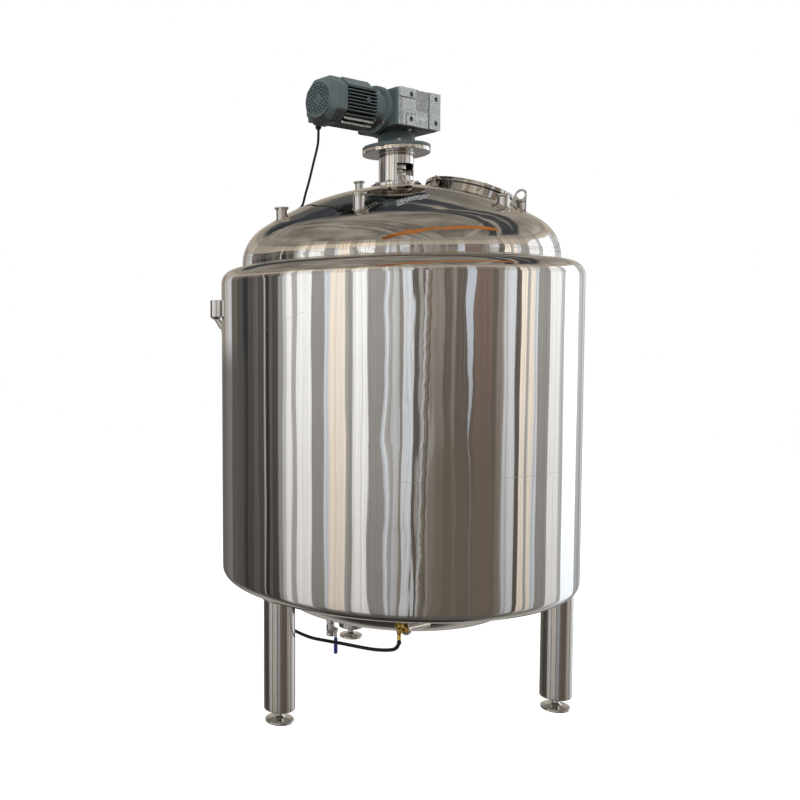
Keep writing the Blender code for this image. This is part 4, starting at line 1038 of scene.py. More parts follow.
def weld_ring(centre, azimuth_radius, radius, sides=48):
    """A weld bead where an upright round piece meets the dome."""
    points = on_dome(centre + spot for spot in circle_of(azimuth_radius, 0.0, sides))
    return tube(points, radius, 10, closed=True)


# Pieces

def make_jacket():
    """Rolled wall, turned shoulder and the flat ring with its dish."""
    wave = bpy.context.scene.tank_shell.sheet_wave
    inner = JACKET_RADIUS - JACKET_SHEET
    seam = SHOULDER_SEAM
    corner = (JACKET_RADIUS - CORNER_RADIUS, JACKET_BOTTOM + CORNER_RADIUS)
    rows = [(JACKET_RADIUS, seam - (seam - corner[1]) * row / SHEET_ROWS) for row in range(SHEET_ROWS)]
    wall = rows + arc(corner, CORNER_RADIUS, 0.0, -90.0, 12)
    wall += arc(corner, CORNER_RADIUS - JACKET_SHEET, -90.0, 0.0, 6) + [(inner, seam)]
    built = turned(wall, JACKET_SIDES)
    for vertex in built.verts:
        across = math.hypot(vertex.co.x, vertex.co.y)
        if across > JACKET_RADIUS - 0.0005:
            fade = min(1.0, (seam - vertex.co.z) / 0.05, (vertex.co.z - corner[1]) / 0.05)
            slow = noise.noise(Vector((vertex.co.x * 4.2, vertex.co.y * 4.2, vertex.co.z * 1.5)))
            grow = 1.0 + wave * max(fade, 0.0) * slow / across
            vertex.co.x *= grow
            vertex.co.y *= grow
    piece("jacket_sheet", built, "jacket_mirror", nodes=["jacket_wall"], weighted=False)

    slope = math.radians(SHOULDER_SLOPE)
    across, rim, end = JACKET_RADIUS - SHOULDER_RADIUS, VESSEL_RADIUS + GAP, 90.0 - SHOULDER_SLOPE
    rise = (across + SHOULDER_RADIUS * math.sin(slope) - VESSEL_RADIUS) * math.tan(slope)
    turn = (across, JACKET_TOP - rise - SHOULDER_RADIUS * math.cos(slope))
    shoulder = [(JACKET_RADIUS, seam + GAP)] + arc(turn, SHOULDER_RADIUS, 0.0, end, 18)
    shoulder += [(rim, JACKET_TOP), (rim, JACKET_TOP - JACKET_SHEET)]
    shoulder += arc(turn, SHOULDER_RADIUS - JACKET_SHEET, end, 0.0, 8) + [(inner, seam + GAP)]
    piece("jacket_shoulder_turn", turned(shoulder, JACKET_SIDES), "dome_mirror", nodes=["jacket_shoulder"],
          weighted=False)

    curve = [(r, JACKET_BOTTOM - z) for r, z in head_curve(DISH_RADIUS, DISH_KNUCKLE, DISH_CROWN)]
    inside = [(r, JACKET_BOTTOM - z) for r, z in head_curve(
        DISH_RADIUS - FLOOR_SHEET, DISH_KNUCKLE - FLOOR_SHEET, DISH_CROWN - FLOOR_SHEET, 8, 14)]
    outer = JACKET_RADIUS - CORNER_RADIUS - GAP
    floor_top = JACKET_BOTTOM + FLOOR_SHEET
    outline = curve + inside[::-1] + [(DISH_RADIUS - FLOOR_SHEET, floor_top), (outer, floor_top),
                                      (outer, JACKET_BOTTOM)]
    drain = drum(0.0, 0.0150, 0.28, 0.50, 32, Matrix.Translation(DRAIN_PLACE))
    piece("jacket_dish", less(turned(outline, 192), drain), "dish_steel", nodes=["jacket_bottom"])
    bead = bpy.context.scene.tank_shell.weld_radius
    ring = circle_of(DISH_RADIUS + 0.001, JACKET_BOTTOM - 0.0005, 120)
    rim = circle_of(outer + 0.001, JACKET_BOTTOM + 0.0005, 144)
    weld_piece("dish_welds", joined(tube(ring, bead, 8, True), tube(rim, bead * 0.6, 8, True)), "satin_part")


def manhole_frame():
    tilt = math.degrees(math.asin(MANHOLE_DISTANCE / HEAD_CROWN))
    height = dome_height(MANHOLE_DISTANCE)
    return placed(on_circle(MANHOLE_DISTANCE, MANHOLE_AZIMUTH, height), MANHOLE_AZIMUTH, tilt)


def make_heads():
    """Dome with its holes, and the vessel inside the jacket."""
    outer = [(VESSEL_RADIUS, JACKET_TOP)] + [(r, HEAD_RIM + z) for r, z in head_curve(
        VESSEL_RADIUS, HEAD_KNUCKLE, HEAD_CROWN)]
    inner = [(VESSEL_RADIUS - VESSEL_WALL, JACKET_TOP)] + [(r, HEAD_RIM + z) for r, z in head_curve(
        VESSEL_RADIUS - VESSEL_WALL, HEAD_KNUCKLE - VESSEL_WALL, HEAD_CROWN - VESSEL_WALL, 6, 10)]
    below, above = 1.60, 1.98
    holes = [drum(0.0, SHAFT_BORE, 1.70, above),
             drum(0.0, MANHOLE_RADIUS - 0.001, -0.1, 0.1, 96, manhole_frame())]
    for _, azimuth, distance, _, pipe, _ in NOZZLES:
        place = Matrix.Translation(on_circle(distance, azimuth))
        holes.append(drum(0.0, pipe - 0.0005, below, above, 32, place))
    dome = piece("dome_head", less(turned(outer + inner[::-1], JACKET_SIDES), *holes), "dome_mirror",
                 nodes=["top_head"], weighted=False)
    follow_dome(dome.data)
    piece("vessel_cylinder", node_copy("vessel_wall"), "dish_steel", nodes=["vessel_wall"])
    piece("vessel_floor_head", node_copy("vessel_bottom_head"), "dish_steel", nodes=["vessel_bottom_head"])
    bead = bpy.context.scene.tank_shell.weld_radius
    foot = circle_of(VESSEL_RADIUS + 0.0015, JACKET_TOP + 0.0015, 180)
    weld_piece("dome_foot_weld", tube(foot, bead, 10, True))


def make_legs():
    """Tube legs trimmed to the jacket's corner, each on a turned foot."""
    corner = (JACKET_RADIUS - CORNER_RADIUS, JACKET_BOTTOM + CORNER_RADIUS)
    for number, azimuth in enumerate(LEG_AZIMUTHS, start=1):
        place = placed(on_circle(LEG_CIRCLE, azimuth), azimuth)
        wall = 0.004
        outline = [(0.0, LEG_BOTTOM)] + arc((LEG_RADIUS - 0.004, LEG_BOTTOM + 0.004), 0.004, -90.0, 0.0, 4)
        outline += [(LEG_RADIUS, LEG_BOTTOM + 0.02), (LEG_RADIUS, 0.452), (LEG_RADIUS - wall, 0.452),
                    (LEG_RADIUS - wall, LEG_BOTTOM + 0.008), (0.0, LEG_BOTTOM + 0.008)]
        belly = [(0.0, JACKET_BOTTOM - GAP)] + arc(corner, CORNER_RADIUS + GAP, -90.0, 0.0, 12)
        belly += [(JACKET_RADIUS + GAP, 0.50), (0.0, 0.50)]
        leg = less(turned(outline, 64, place), turned(belly, 144))
        piece(f"leg_tube_{number}", leg, "satin_tube", nodes=[f"leg_{number}"])
        stem, pad = 0.0125, 0.0125
        foot = [(0.0, 0.0), (FOOT_RADIUS - 0.003, 0.0), (FOOT_RADIUS, 0.0025), (FOOT_RADIUS, 0.0085),
                (FOOT_RADIUS - 0.002, 0.0105), (0.030, pad), (0.021, 0.0150), (0.0155, 0.0205),
                (stem, 0.0265), (stem, 0.0335), (0.0155, 0.0350), (0.0155, LEG_BOTTOM - GAP),
                (0.0, LEG_BOTTOM - GAP)]
        piece(f"leg_foot_turned_{number}", turned(foot, 64, place, 0.0012), "polished_part",
              nodes=[f"leg_foot_{number}"])
        points = []
        for index in range(64):
            angle = 2 * math.pi * index / 64
            spot = place @ Vector((LEG_RADIUS * math.cos(angle), LEG_RADIUS * math.sin(angle), 0.0))
            across = math.hypot(spot.x, spot.y) - corner[0]
            height = JACKET_BOTTOM
            if across > 0:
                height = corner[1] - math.sqrt(max(CORNER_RADIUS ** 2 - across ** 2, 0.0))
            points.append((spot.x, spot.y, height))
        weld_piece(f"leg_weld_{number}", tube(points, 0.0030, 10, True), "satin_part")


def make_neck():
    """Pad, lantern with its windows, top flange, bolts and welds."""
    bore = SHAFT_BORE
    low = NECK_PAD_TOP + GAP
    middle = low + NECK_FLANGE_THICKNESS
    top = TOP_FLANGE_BOTTOM - GAP
    inner = NECK_RADIUS - NECK_WALL
    sunk = dome_height(NECK_PAD_RADIUS) - 0.003
    pad = drum(bore, NECK_PAD_RADIUS - 0.001, sunk, NECK_PAD_TOP, 96, soft=0.0008)
    piece("neck_pad_ring", pad, "polished_part", nodes=["neck_pad"])
    window = block((-0.09, -WINDOW_HALF_WIDTH, WINDOW_BOTTOM), (0.09, WINDOW_HALF_WIDTH, WINDOW_TOP))
    outline = [(inner, low), (NECK_PAD_RADIUS, low), (NECK_PAD_RADIUS, middle), (NECK_RADIUS + 0.004, middle),
               (NECK_RADIUS, middle + 0.004), (NECK_RADIUS, top), (inner, top)]
    piece("lantern", less(turned(outline, 96, soft=0.0012), window), "polished_part", nodes=["lantern_neck"])
    flange_top = TOP_FLANGE_BOTTOM + TOP_FLANGE_THICKNESS
    flange = drum(inner, TOP_FLANGE_RADIUS, TOP_FLANGE_BOTTOM, flange_top, 120, soft=0.0014)
    piece("top_flange", flange, "polished_part", nodes=["lantern_top_flange"])
    # A dark brown steel film under the top flange: a painted dark reflection on its underside.
    shade = drum(NECK_RADIUS + 0.003, TOP_FLANGE_RADIUS - 0.0025, TOP_FLANGE_BOTTOM - 0.0006,
                 TOP_FLANGE_BOTTOM - 0.0001, 96)
    piece("flange_underside", shade, "painted_shade_steel", weighted=False)
    weld = circle_of(NECK_RADIUS + 0.001, TOP_FLANGE_BOTTOM - 0.001, 72)
    seat = circle_of(NECK_PAD_RADIUS, dome_height(NECK_PAD_RADIUS), 72)
    weld_piece("neck_welds", joined(tube(weld, 0.0025, 8, True), tube(seat, 0.0020, 8, True)))
    drive = bpy.context.scene.tank_drive
    ring_piece("neck_bolts", hex_bolt(0.013, 0.008), drive.neck_bolts, NECK_BOLT_CIRCLE, 22.5, "bolt_steel",
               at(0.0, 0.0, middle))


def make_gearbox():
    """Flange, housing, machined foot face, plugs and bolts."""
    low = TOP_FLANGE_BOTTOM + TOP_FLANGE_THICKNESS + GAP
    disc_top = low + GEAR_FLANGE_THICKNESS
    under = GEAR_BOX_Z[0] - GAP
    inner = NECK_RADIUS - NECK_WALL
    outline = [(inner, low), (TOP_FLANGE_RADIUS, low), (TOP_FLANGE_RADIUS, disc_top),
               (GEAR_HUB_RADIUS + 0.010, disc_top), (GEAR_HUB_RADIUS + 0.003, disc_top + 0.004),
               (GEAR_HUB_RADIUS, disc_top + 0.012), (GEAR_HUB_RADIUS, under), (inner - 0.012, under),
               (inner - 0.012, low + 0.02), (inner, low + 0.02)]
    piece("gear_flange", turned(outline, 120, soft=0.0012), "machine_paint", nodes=["gearbox_flange"])
    housing = block(*zip(GEAR_BOX_X, GEAR_BOX_Y, GEAR_BOX_Z))
    cast = piece("gear_housing", housing, "machine_paint", nodes=["gearbox_housing"], bevel=0.009)
    cast.modifiers["soft_edges"].segments = 4
    boss = turned([(0.0, under - 0.0030), (0.084, under - 0.0030), (0.088, under + 0.004),
                   (0.0, under + 0.004)], 64, soft=0.002)
    rib = joined(block((-0.088, -0.004, GEAR_BOX_Z[1] - 0.002), (0.098, 0.004, GEAR_BOX_Z[1] + 0.003)),
                 drum(0.0, 0.030, GEAR_BOX_Z[1] - 0.002, GEAR_BOX_Z[1] + 0.003, 40, at(0.02, 0.055, 0.0)))
    piece("gear_housing_boss", joined(boss, rib), "machine_paint", bevel=0.0010)
    back = at(0.0, GEAR_BOX_Y[1], MOTOR_HEIGHT) @ TO_Y
    cover = turned([(0.0, -0.002), (0.054, -0.002), (0.054, 0.004), (0.040, 0.006), (0.0, 0.006)], 64, back,
                   0.0012)
    left = at(GEAR_BOX_X[0], 0.0, MOTOR_HEIGHT) @ TO_MINUS_X
    side = drum(0.0, 0.050, -0.002, 0.003, 64, left, 0.0010)
    piece("gear_covers", joined(cover, side), "machine_paint")
    ring_piece("gear_cover_bolts", hex_bolt(0.008, 0.0045), 6, 0.046, 0.0, "bolt_steel",
               back @ at(0.0, 0.0, 0.004))
    make_foot_face()
    drive = bpy.context.scene.tank_drive
    ring_piece("flange_bolts", hex_bolt(0.017, 0.010), drive.flange_bolts, FLANGE_BOLT_CIRCLE, 45.0,
               "bolt_steel", at(0.0, 0.0, disc_top))
    down = at(0.006, GEAR_BOX_Y[0] + 0.016, GEAR_BOX_Z[0] + 0.001) @ TO_GROUND
    collar = drum(0.0, 0.011, 0.0, 0.006, 32, down, 0.0008)
    piece("oil_plug", joined(collar, drum(0.0, 0.0085, 0.006, 0.015, 6, down, 0.0006)), "black_and_painted_shade")
    bright = at(0.080, -0.022, under - 0.001) @ TO_GROUND
    piece("level_plug", joined(drum(0.0, 0.0085, 0.0, 0.003, 24, bright, 0.0005),
                               drum(0.0, 0.0062, 0.003, 0.007, 6, bright, 0.0005)), "bolt_steel")


def make_foot_face():
    """Bare machined face with two raised blocks, four bores and corner steps."""
    low_x = GEAR_BOX_X[1] + GAP
    low_z, high_z = GEAR_BOX_Z[0] + 0.003, GEAR_BOX_Z[1] - 0.003
    outline = [(-0.109, low_x), (-0.109, FOOT_FACE_X), (-0.027, FOOT_FACE_X), (-0.027, FOOT_FACE_X - 0.004),
               (0.049, FOOT_FACE_X - 0.004), (0.049, FOOT_FACE_X), (0.108, FOOT_FACE_X), (0.108, low_x)]
    plate = raised([(x, y) for y, x in outline], low_z, high_z)
    cutters = [block((FOOT_FACE_X - 0.003, -0.115, 2.124), (FOOT_FACE_X + 0.01, -0.020, 2.1825)),
               block((FOOT_FACE_X - 0.003, -0.115, 2.06), (FOOT_FACE_X + 0.01, -0.0735, 2.182)),
               block((FOOT_FACE_X - 0.0060, -0.020, 2.140), (FOOT_FACE_X + 0.01, 0.045, high_z + 0.01))]
    rims = []
    for along in FOOT_HOLES_Y:
        for height in FOOT_HOLES_Z:
            place = at(FOOT_FACE_X, along, height) @ TO_MINUS_X
            cutters.append(turned([(0.0, -0.02), (0.0088, -0.02), (0.0088, 0.0040), (0.0062, 0.0052),
                                   (0.0062, 0.009), (0.0, 0.009)], 32, place))
            rims.append(drum(0.0052, 0.0086, 0.0012, 0.0038, 24, place))
    piece("foot_face", less(plate, *cutters), "bare_casting", nodes=["gearbox_foot_face"], bevel=0.0008)
    # Near-black rings in the bores: painted shade down the holes.
    piece("foot_face_threads", joined(*rims), "black_and_painted_shade", weighted=False)
    sunk, deep = FOOT_FACE_X - 0.0029, FOOT_FACE_X - 0.0059
    rough = [block((deep, -0.0190, 2.1410), (deep + 0.0004, 0.0440, high_z - 0.001)),
             block((sunk, -0.1080, low_z + 0.001), (sunk + 0.0003, -0.0930, 2.1815))]
    piece("foot_face_rough", joined(*rough), "rough_casting", weighted=False)
    # Thin dark strips along the recess's edges beside the raised blocks: painted shade.
    shade = [block((sunk, -0.1080, 2.1800), (sunk + 0.0005, -0.0280, 2.1822)),
             block((sunk, -0.0740, 2.1243), (sunk + 0.0005, -0.0280, 2.1262)),
             block((sunk, -0.0755, low_z + 0.001), (sunk + 0.0005, -0.0737, 2.1240)),
             block((FOOT_FACE_X - 0.0039, 0.0462, low_z + 0.001),
                   (FOOT_FACE_X - 0.0033, 0.0488, high_z - 0.001)),
             block((FOOT_FACE_X - 0.0039, -0.0268, low_z + 0.001), (FOOT_FACE_X - 0.0033, -0.0250, 2.1395))]
    piece("foot_face_grime", joined(*shade), "black_and_painted_shade", weighted=False)


def rounded_octagon(angle, half, corner, power=48.0):
    """Reach of an eight-sided outline with rounded corners at an angle."""
    cosine, sine = abs(math.cos(angle)), abs(math.sin(angle))
    flats = [cosine / half, sine / half, (cosine + sine) / (2 * half - corner)]
    return sum(flat ** power for flat in flats) ** (-1 / power)


def lofted(sections, sides, place):
    """A closed form through (height, reach function) sections, its ends filled."""
    built = bmesh.new()
    rings = []
    for height, reach in sections:
        rings.append([built.verts.new((reach(2 * math.pi * k / sides) * math.cos(2 * math.pi * k / sides),
                                       reach(2 * math.pi * k / sides) * math.sin(2 * math.pi * k / sides),
                                       height)) for k in range(sides)])
    built.faces.new(rings[0])
    built.faces.new(rings[-1])
    for low, high in zip(rings, rings[1:]):
        for k in range(sides):
            other = (k + 1) % sides
            built.faces.new((low[k], low[other], high[other], high[k]))
    built.transform(place)
    return built


def make_motor():
    """Adaptor, finned body, end shield, cowl with its grille, and terminal box."""
    adaptor = [(0.0, 0.0), (ADAPTOR_RADIUS, 0.0), (ADAPTOR_RADIUS, 0.008), (ADAPTOR_RADIUS - 0.0025, 0.0095),
               (ADAPTOR_RADIUS - 0.0025, 0.0110), (ADAPTOR_RADIUS, 0.0125), (ADAPTOR_RADIUS, 0.020),
               (0.071, 0.024), (0.066, 0.034), (0.064, 0.050), (0.064, 0.0744), (0.0, 0.0744)]
    start = along_motor(-GEAR_BOX_Y[0] + GAP)
    piece("adaptor", turned(adaptor, 96, start, 0.0010), "machine_paint", nodes=["motor_adaptor"])
    ring_piece("adaptor_bolts", hex_bolt(0.010, 0.006), 4, 0.0760, 45.0, "bolt_steel",
               start @ at(0.0, 0.0, 0.0212))
    piece("finned_body", node_copy("motor_body"), "machine_paint", nodes=["motor_body"], bevel=0.0006)
    # A near-black tube just inside the fins: painted shade in the gaps between them.
    fin_shade_tube = drum(0.0, 0.0672, 0.008, 0.138, 64, along_motor(MOTOR_REAR))
    piece("fin_shadow", fin_shade_tube, "black_and_painted_shade")
    shield = [(0.055, -0.001), (0.074, -0.001), (0.078, 0.003), (0.078, 0.012), (0.070, 0.016),
              (0.055, 0.016)]
    piece("end_shield", turned(shield, 80, along_motor(MOTOR_REAR - 0.013), 0.0012), "machine_paint")
    ring_piece("shield_lugs", drum(0.0, 0.0075, 0.0, 0.020, 20, soft=0.001), 4,
               0.0740, 45.0, "machine_paint", along_motor(MOTOR_REAR - 0.014))
    make_strips()
    make_cowl()
    case = block(TERMINAL_LOW, (TERMINAL_HIGH.x, TERMINAL_HIGH.y, TERMINAL_HIGH.z))
    piece("terminal_case", case, "machine_paint", nodes=["terminal_box"], bevel=0.005)
    lid = block((TERMINAL_LOW.x - 0.0015, TERMINAL_LOW.y + 0.002, TERMINAL_LOW.z + 0.002),
                (TERMINAL_LOW.x + 0.008, TERMINAL_HIGH.y - 0.002, TERMINAL_HIGH.z - 0.002))
    piece("terminal_lid", lid, "machine_paint", bevel=0.003)
    face = at(TERMINAL_LOW.x - 0.0015, (TERMINAL_LOW.y + TERMINAL_HIGH.y) / 2,
              (TERMINAL_LOW.z + TERMINAL_HIGH.z) / 2) @ TO_MINUS_X
    ring_piece("terminal_screws", hex_bolt(0.006, 0.003), 4, 0.052, 45.0, "bolt_steel", face)
    gland = [(0.0, -0.028), (0.0072, -0.028), (0.0110, -0.0215), (0.0110, -0.012), (0.0095, -0.0115),
             (0.0095, -0.0095), (0.0130, -0.009), (0.0130, 0.0), (0.0, 0.0)]
    spot = at(-0.115, -0.285, TERMINAL_LOW.z - GAP)
    piece("gland", turned(gland, 40, spot, 0.0006), "black_rubber", nodes=["cable_gland"])


def make_strips():
    """Two bare machined strips on the motor's lower corner, a lifting eye and a blank plate."""
    tilt = Matrix.Rotation(math.radians(45.0), 4, "Y")
    strips = []
    for x, z in ((0.0600, 2.0880), (0.0480, 2.0758)):
        place = at(x, 0.0, z) @ tilt
        strips.append(block((-0.0046, -0.3300, -0.0030), (0.0046, -0.1900, 0.0016), place))
    piece("corner_strips", joined(*strips), "bare_strip", bevel=0.0007)
    panels = []
    for side in (1.0, -1.0):
        place = at(0.0615 * side, 0.0, MOTOR_HEIGHT + 0.0615) @ Matrix.Rotation(
            math.radians(45.0 * side), 4, "Y")
        panels.append(block((-0.0225, -COWL_REAR + 0.001, -0.010), (0.0225, -0.2010, 0.0012), place))
    piece("corner_panels", joined(*panels), "machine_paint", bevel=0.0010)
    eye = at(0.0835, -0.2350, 2.1545) @ TO_X
    ring = [eye @ spot for spot in circle_of(0.0072, 0.0, 20)]
    stud = drum(0.0, 0.0055, -0.016, -0.0015, 20, eye, 0.0006)
    piece("motor_eye", joined(tube(ring, 0.0024, 10, True), stud), "machine_paint", weighted=False)
    plate = block((-0.034, -0.300, MOTOR_HEIGHT + 0.0775), (0.034, -0.215, MOTOR_HEIGHT + 0.0792))
    piece("top_cover_plate", plate, "machine_paint", bevel=0.0005)


def make_cowl():
    """Fan cowl: eight-sided with a bead, closing to a round ring that holds the slotted grille."""
    def octagon(half, corner=COWL_CORNER):
        return lambda angle: rounded_octagon(angle, half, corner)

    def between(share, half, radius):
        return lambda angle: (1 - share) * rounded_octagon(angle, half, COWL_CORNER) + share * radius

    length, step = COWL_FRONT - COWL_REAR, COWL_STEP - COWL_REAR
    sections = [(0.0, octagon(COWL_HALF)), (0.010, octagon(COWL_HALF)), (0.011, octagon(COWL_HALF - 0.0012)),
                (0.014, octagon(COWL_HALF - 0.0012)), (0.015, octagon(COWL_HALF)),
                (0.034, octagon(COWL_HALF)), (0.035, octagon(COWL_HALF - 0.0010)),
                (0.038, octagon(COWL_HALF - 0.0010)), (0.039, octagon(COWL_HALF)),
                (step - 0.002, octagon(COWL_HALF)), (step + 0.001, between(0.06, COWL_HALF, 0.061)),
                (step + 0.009, between(0.45, COWL_HALF, 0.061)),
                (length - 0.004, between(0.94, COWL_HALF, 0.061)), (length - 0.0012, lambda angle: 0.0612),
                (length, lambda angle: 0.0598)]
    recess = drum(0.0, GRILLE_RADIUS, 0.008, 0.2, 96, along_motor(COWL_REAR))
    shell = less(lofted(sections, 96, along_motor(COWL_REAR)), recess)
    piece("cowl_shell", shell, "machine_paint", nodes=["fan_cowl"], sharp=28.0)
    drive = bpy.context.scene.tank_drive
    half, reach = drive.slot_width / 2, (drive.slot_length - drive.slot_width) / 2
    outline = [(reach + x, y) for x, y in arc((0.0, 0.0), half, -90.0, 90.0, 4)]
    outline += [(-reach + x, y) for x, y in arc((0.0, 0.0), half, 90.0, 270.0, 4)]
    slot = pattern_part(raised(outline, -0.004, 0.004))
    plate = grown(grille_tree(), {"Slot": slot, "Radius": GRILLE_RADIUS - 0.0002,
                                  "Finish": finish("machine_paint")}, along_motor(COWL_FRONT - 0.0035))
    bpy.data.objects.remove(slot, do_unlink=True)
    mesh_piece("fan_grille", plate, "machine_paint", sharp=30.0, weighted=False)
    hub = drum(0.0085, 0.0135, -0.001, 0.0016, 40, along_motor(COWL_FRONT - 0.0030), 0.0004)
    cap = drum(0.0, 0.0040, -0.001, 0.0020, 24, along_motor(COWL_FRONT - 0.0030), 0.0004)
    piece("grille_hub", joined(hub, cap), "machine_paint")
    # A near-black disc behind the grille: painted shade inside the cowl.
    dark = drum(0.0, GRILLE_RADIUS - 0.001, 0.0, 0.0010, 64, along_motor(COWL_REAR + 0.0082))
    piece("fan_shadow", dark, "black_and_painted_shade", weighted=False)
    fan_blade = block((0.014, -0.0012, 0.0), (0.050, 0.0012, 0.030))
    ring_piece("fan_blades", fan_blade, 9, 0.0001, 0.0, "black_and_painted_shade", along_motor(COWL_REAR + 0.012))


def make_agitator():
    """Shaft, clamp coupling with its screws, and the pitched-blade impeller."""
    shaft = drum(0.0, SHAFT_RADIUS, SHAFT_END, GEAR_BOX_Z[0] - 2 * GAP, 48, soft=0.002)
    piece("shaft", shaft, "polished_part", "agitator", nodes=["agitator_shaft"])
    inner, waist = SHAFT_RADIUS + GAP, COUPLING_RADIUS - 0.010
    coupling = [(inner, COUPLING_LOW), (COUPLING_RADIUS, COUPLING_LOW), (COUPLING_RADIUS, 1.935),
                (waist, 1.938), (waist, 1.946), (COUPLING_RADIUS, 1.949), (COUPLING_RADIUS, COUPLING_HIGH),
                (inner, COUPLING_HIGH)]
    piece("coupling", turned(coupling, 64, soft=0.0012), "satin_part", "agitator", nodes=["shaft_coupling"])
    ring_piece("coupling_bolts", hex_bolt(0.008, 0.006), 6, 0.0320, 10.0, "bolt_steel",
               at(0.0, 0.0, 1.9355), "agitator")
    piece("impeller_hub", drum(inner, 0.034, IMPELLER_LOW, IMPELLER_HIGH, 48, soft=0.002),
          "satin_part", "agitator", nodes=["impeller"])
    blade = block((0.030, -0.003, -0.030), (IMPELLER_RADIUS, 0.003, 0.030),
                  Matrix.Rotation(math.radians(45.0), 4, "X"))
    round_edges(blade, 0.0012)
    ring_piece("impeller_blades", blade, 4, 0.0001, 0.0, "satin_part", at(0.0, 0.0, 0.525), "agitator")


def make_manhole():
    """Collar, gasket, domed lid with its catches, and the hinge."""
    place = manhole_frame()
    inner = MANHOLE_RADIUS - MANHOLE_WALL
    collar = drum(inner, MANHOLE_RADIUS, -0.036, MANHOLE_RISE, 144, place, 0.0010)
    piece("manhole_ring", collar, "polished_part", nodes=["manhole_collar"])
    gasket = drum(MANHOLE_RADIUS + 0.0002, MANHOLE_RADIUS + 0.0046, 0.0112, LID_UNDERSIDE - 0.0002, 144,
                  place, 0.0006)
    piece("manhole_gasket", gasket, "black_rubber")
    seat = on_dome(place @ spot for spot in circle_of(MANHOLE_RADIUS, 0.0, 144))
    weld_piece("manhole_weld", tube(seat, 0.0022, 10, True))
    make_lid(place)
    bracket = node_copy("lid_hinge_bracket")
    piece("hinge_bracket", bracket, "satin_part", nodes=["lid_hinge_bracket"], bevel=0.0010)
    make_catches(place)


def make_lid(place):
    edge = MANHOLE_RADIUS - 0.030
    shares = (0.85, 0.7, 0.55, 0.4, 0.25, 0.1)
    dish = [(edge * share, LID_TOP + LID_DISH * (1 - share ** 2)) for share in shares]
    outline = [(0.0, LID_UNDERSIDE), (LID_RADIUS, LID_UNDERSIDE), (LID_RADIUS, LID_TOP),
               (edge + 0.004, LID_TOP), (edge, LID_TOP + 0.0006)] + dish + [(0.0, LID_TOP + LID_DISH)]
    half = HINGE_BARREL_HALF - 0.002
    side = Matrix.Rotation(math.radians(HINGE_ANGLE), 4, "Z")
    strap = block((LID_RADIUS - 0.060, -half, LID_TOP - 0.004), (HINGE_REACH, half, LID_TOP + 0.007),
                  place @ side)
    round_edges(strap, 0.0015)
    lying = place @ side @ at(HINGE_REACH, 0.0, HINGE_HEIGHT) @ TO_MINUS_Y
    barrel = drum(0.0054, 0.011, -HINGE_BARREL_HALF, HINGE_BARREL_HALF, 40, lying, 0.0008)
    pins = []
    middle = (LID_UNDERSIDE + LID_TOP) / 2
    outwards = at(0.0, 0.0, middle) @ TO_X
    for angle in CLAMP_ANGLES:
        turn = Matrix.Rotation(math.radians(angle), 4, "Z")
        pins.append(drum(0.0, 0.0046, LID_RADIUS - 0.006, 0.1830, 24, place @ turn @ outwards, 0.0005))
    piece("lid_plate", joined(turned(outline, 144, place, 0.0016), strap, barrel, *pins), "polished_part",
          "lid", nodes=["manhole_lid"])
    knobs = []
    for angle in CLAMP_ANGLES:
        turn = Matrix.Rotation(math.radians(angle), 4, "Z")
        knob = [(0.0, 0.1815), (0.0040, 0.1815), (0.0050, 0.1825), (0.0050, 0.1865), (0.0036, 0.1880),
                (0.0, 0.1880)]
        knobs.append(turned(knob, 28, place @ turn @ outwards, 0.0008))
    piece("lid_catch_knobs", joined(*knobs), "bolt_steel", "lid")


def make_catches(place):
    """Swing rods that hold the lid's pins down, each on an ear of the collar."""
    parts = []
    for angle in CLAMP_ANGLES:
        turn = place @ Matrix.Rotation(math.radians(angle), 4, "Z")
        ear = block((MANHOLE_RADIUS - 0.002, -0.0215, -0.0080), (MANHOLE_RADIUS + 0.0130, -0.0155, 0.0040),
                    turn)
        round_edges(ear, 0.0010)
        parts.append(ear)
        foot, head = Vector((0.1785, -0.0185, -0.0020)), Vector((0.1785, -0.0060, 0.0125))
        parts.append(rod(turn @ foot, turn @ head, 0.0026, 14))
        parts.append(rod(turn @ Vector((0.1785, -0.0235, -0.0020)), turn @ Vector((0.1785, -0.0135, -0.0020)),
                         0.0034, 16))
    piece("lid_catches", joined(*parts), "bolt_steel", weighted=False)


def make_nozzles():
    """Clamp ferrules on their pipes, welded to the dome."""
    bead = bpy.context.scene.tank_shell.weld_radius
    welds = []
    for name, azimuth, distance, top, pipe, flange in NOZZLES:
        inner = pipe - NOZZLE_WALL
        bottom = dome_height(distance + pipe) - 0.012
        neck = top - FERRULE_THICKNESS
        outline = [(inner, bottom), (pipe, bottom), (pipe, neck - 0.007), (pipe + 0.0012, neck - 0.002),
                   (flange - 0.0006, neck + 0.0022), (flange, neck + 0.0032), (flange, top - 0.0004),
                   (flange - 0.0004, top), (inner + 0.0030, top), (inner + 0.0022, top - 0.0012),
                   (inner, top - 0.002)]
        centre = on_circle(distance, azimuth)
        piece(f"{name}_ferrule", turned(outline, 64, Matrix.Translation(centre), 0.0006), "polished_part",
              nodes=[name])
        welds.append(weld_ring(centre, pipe + 0.0004, bead))
    weld_piece("nozzle_welds", joined(*welds))


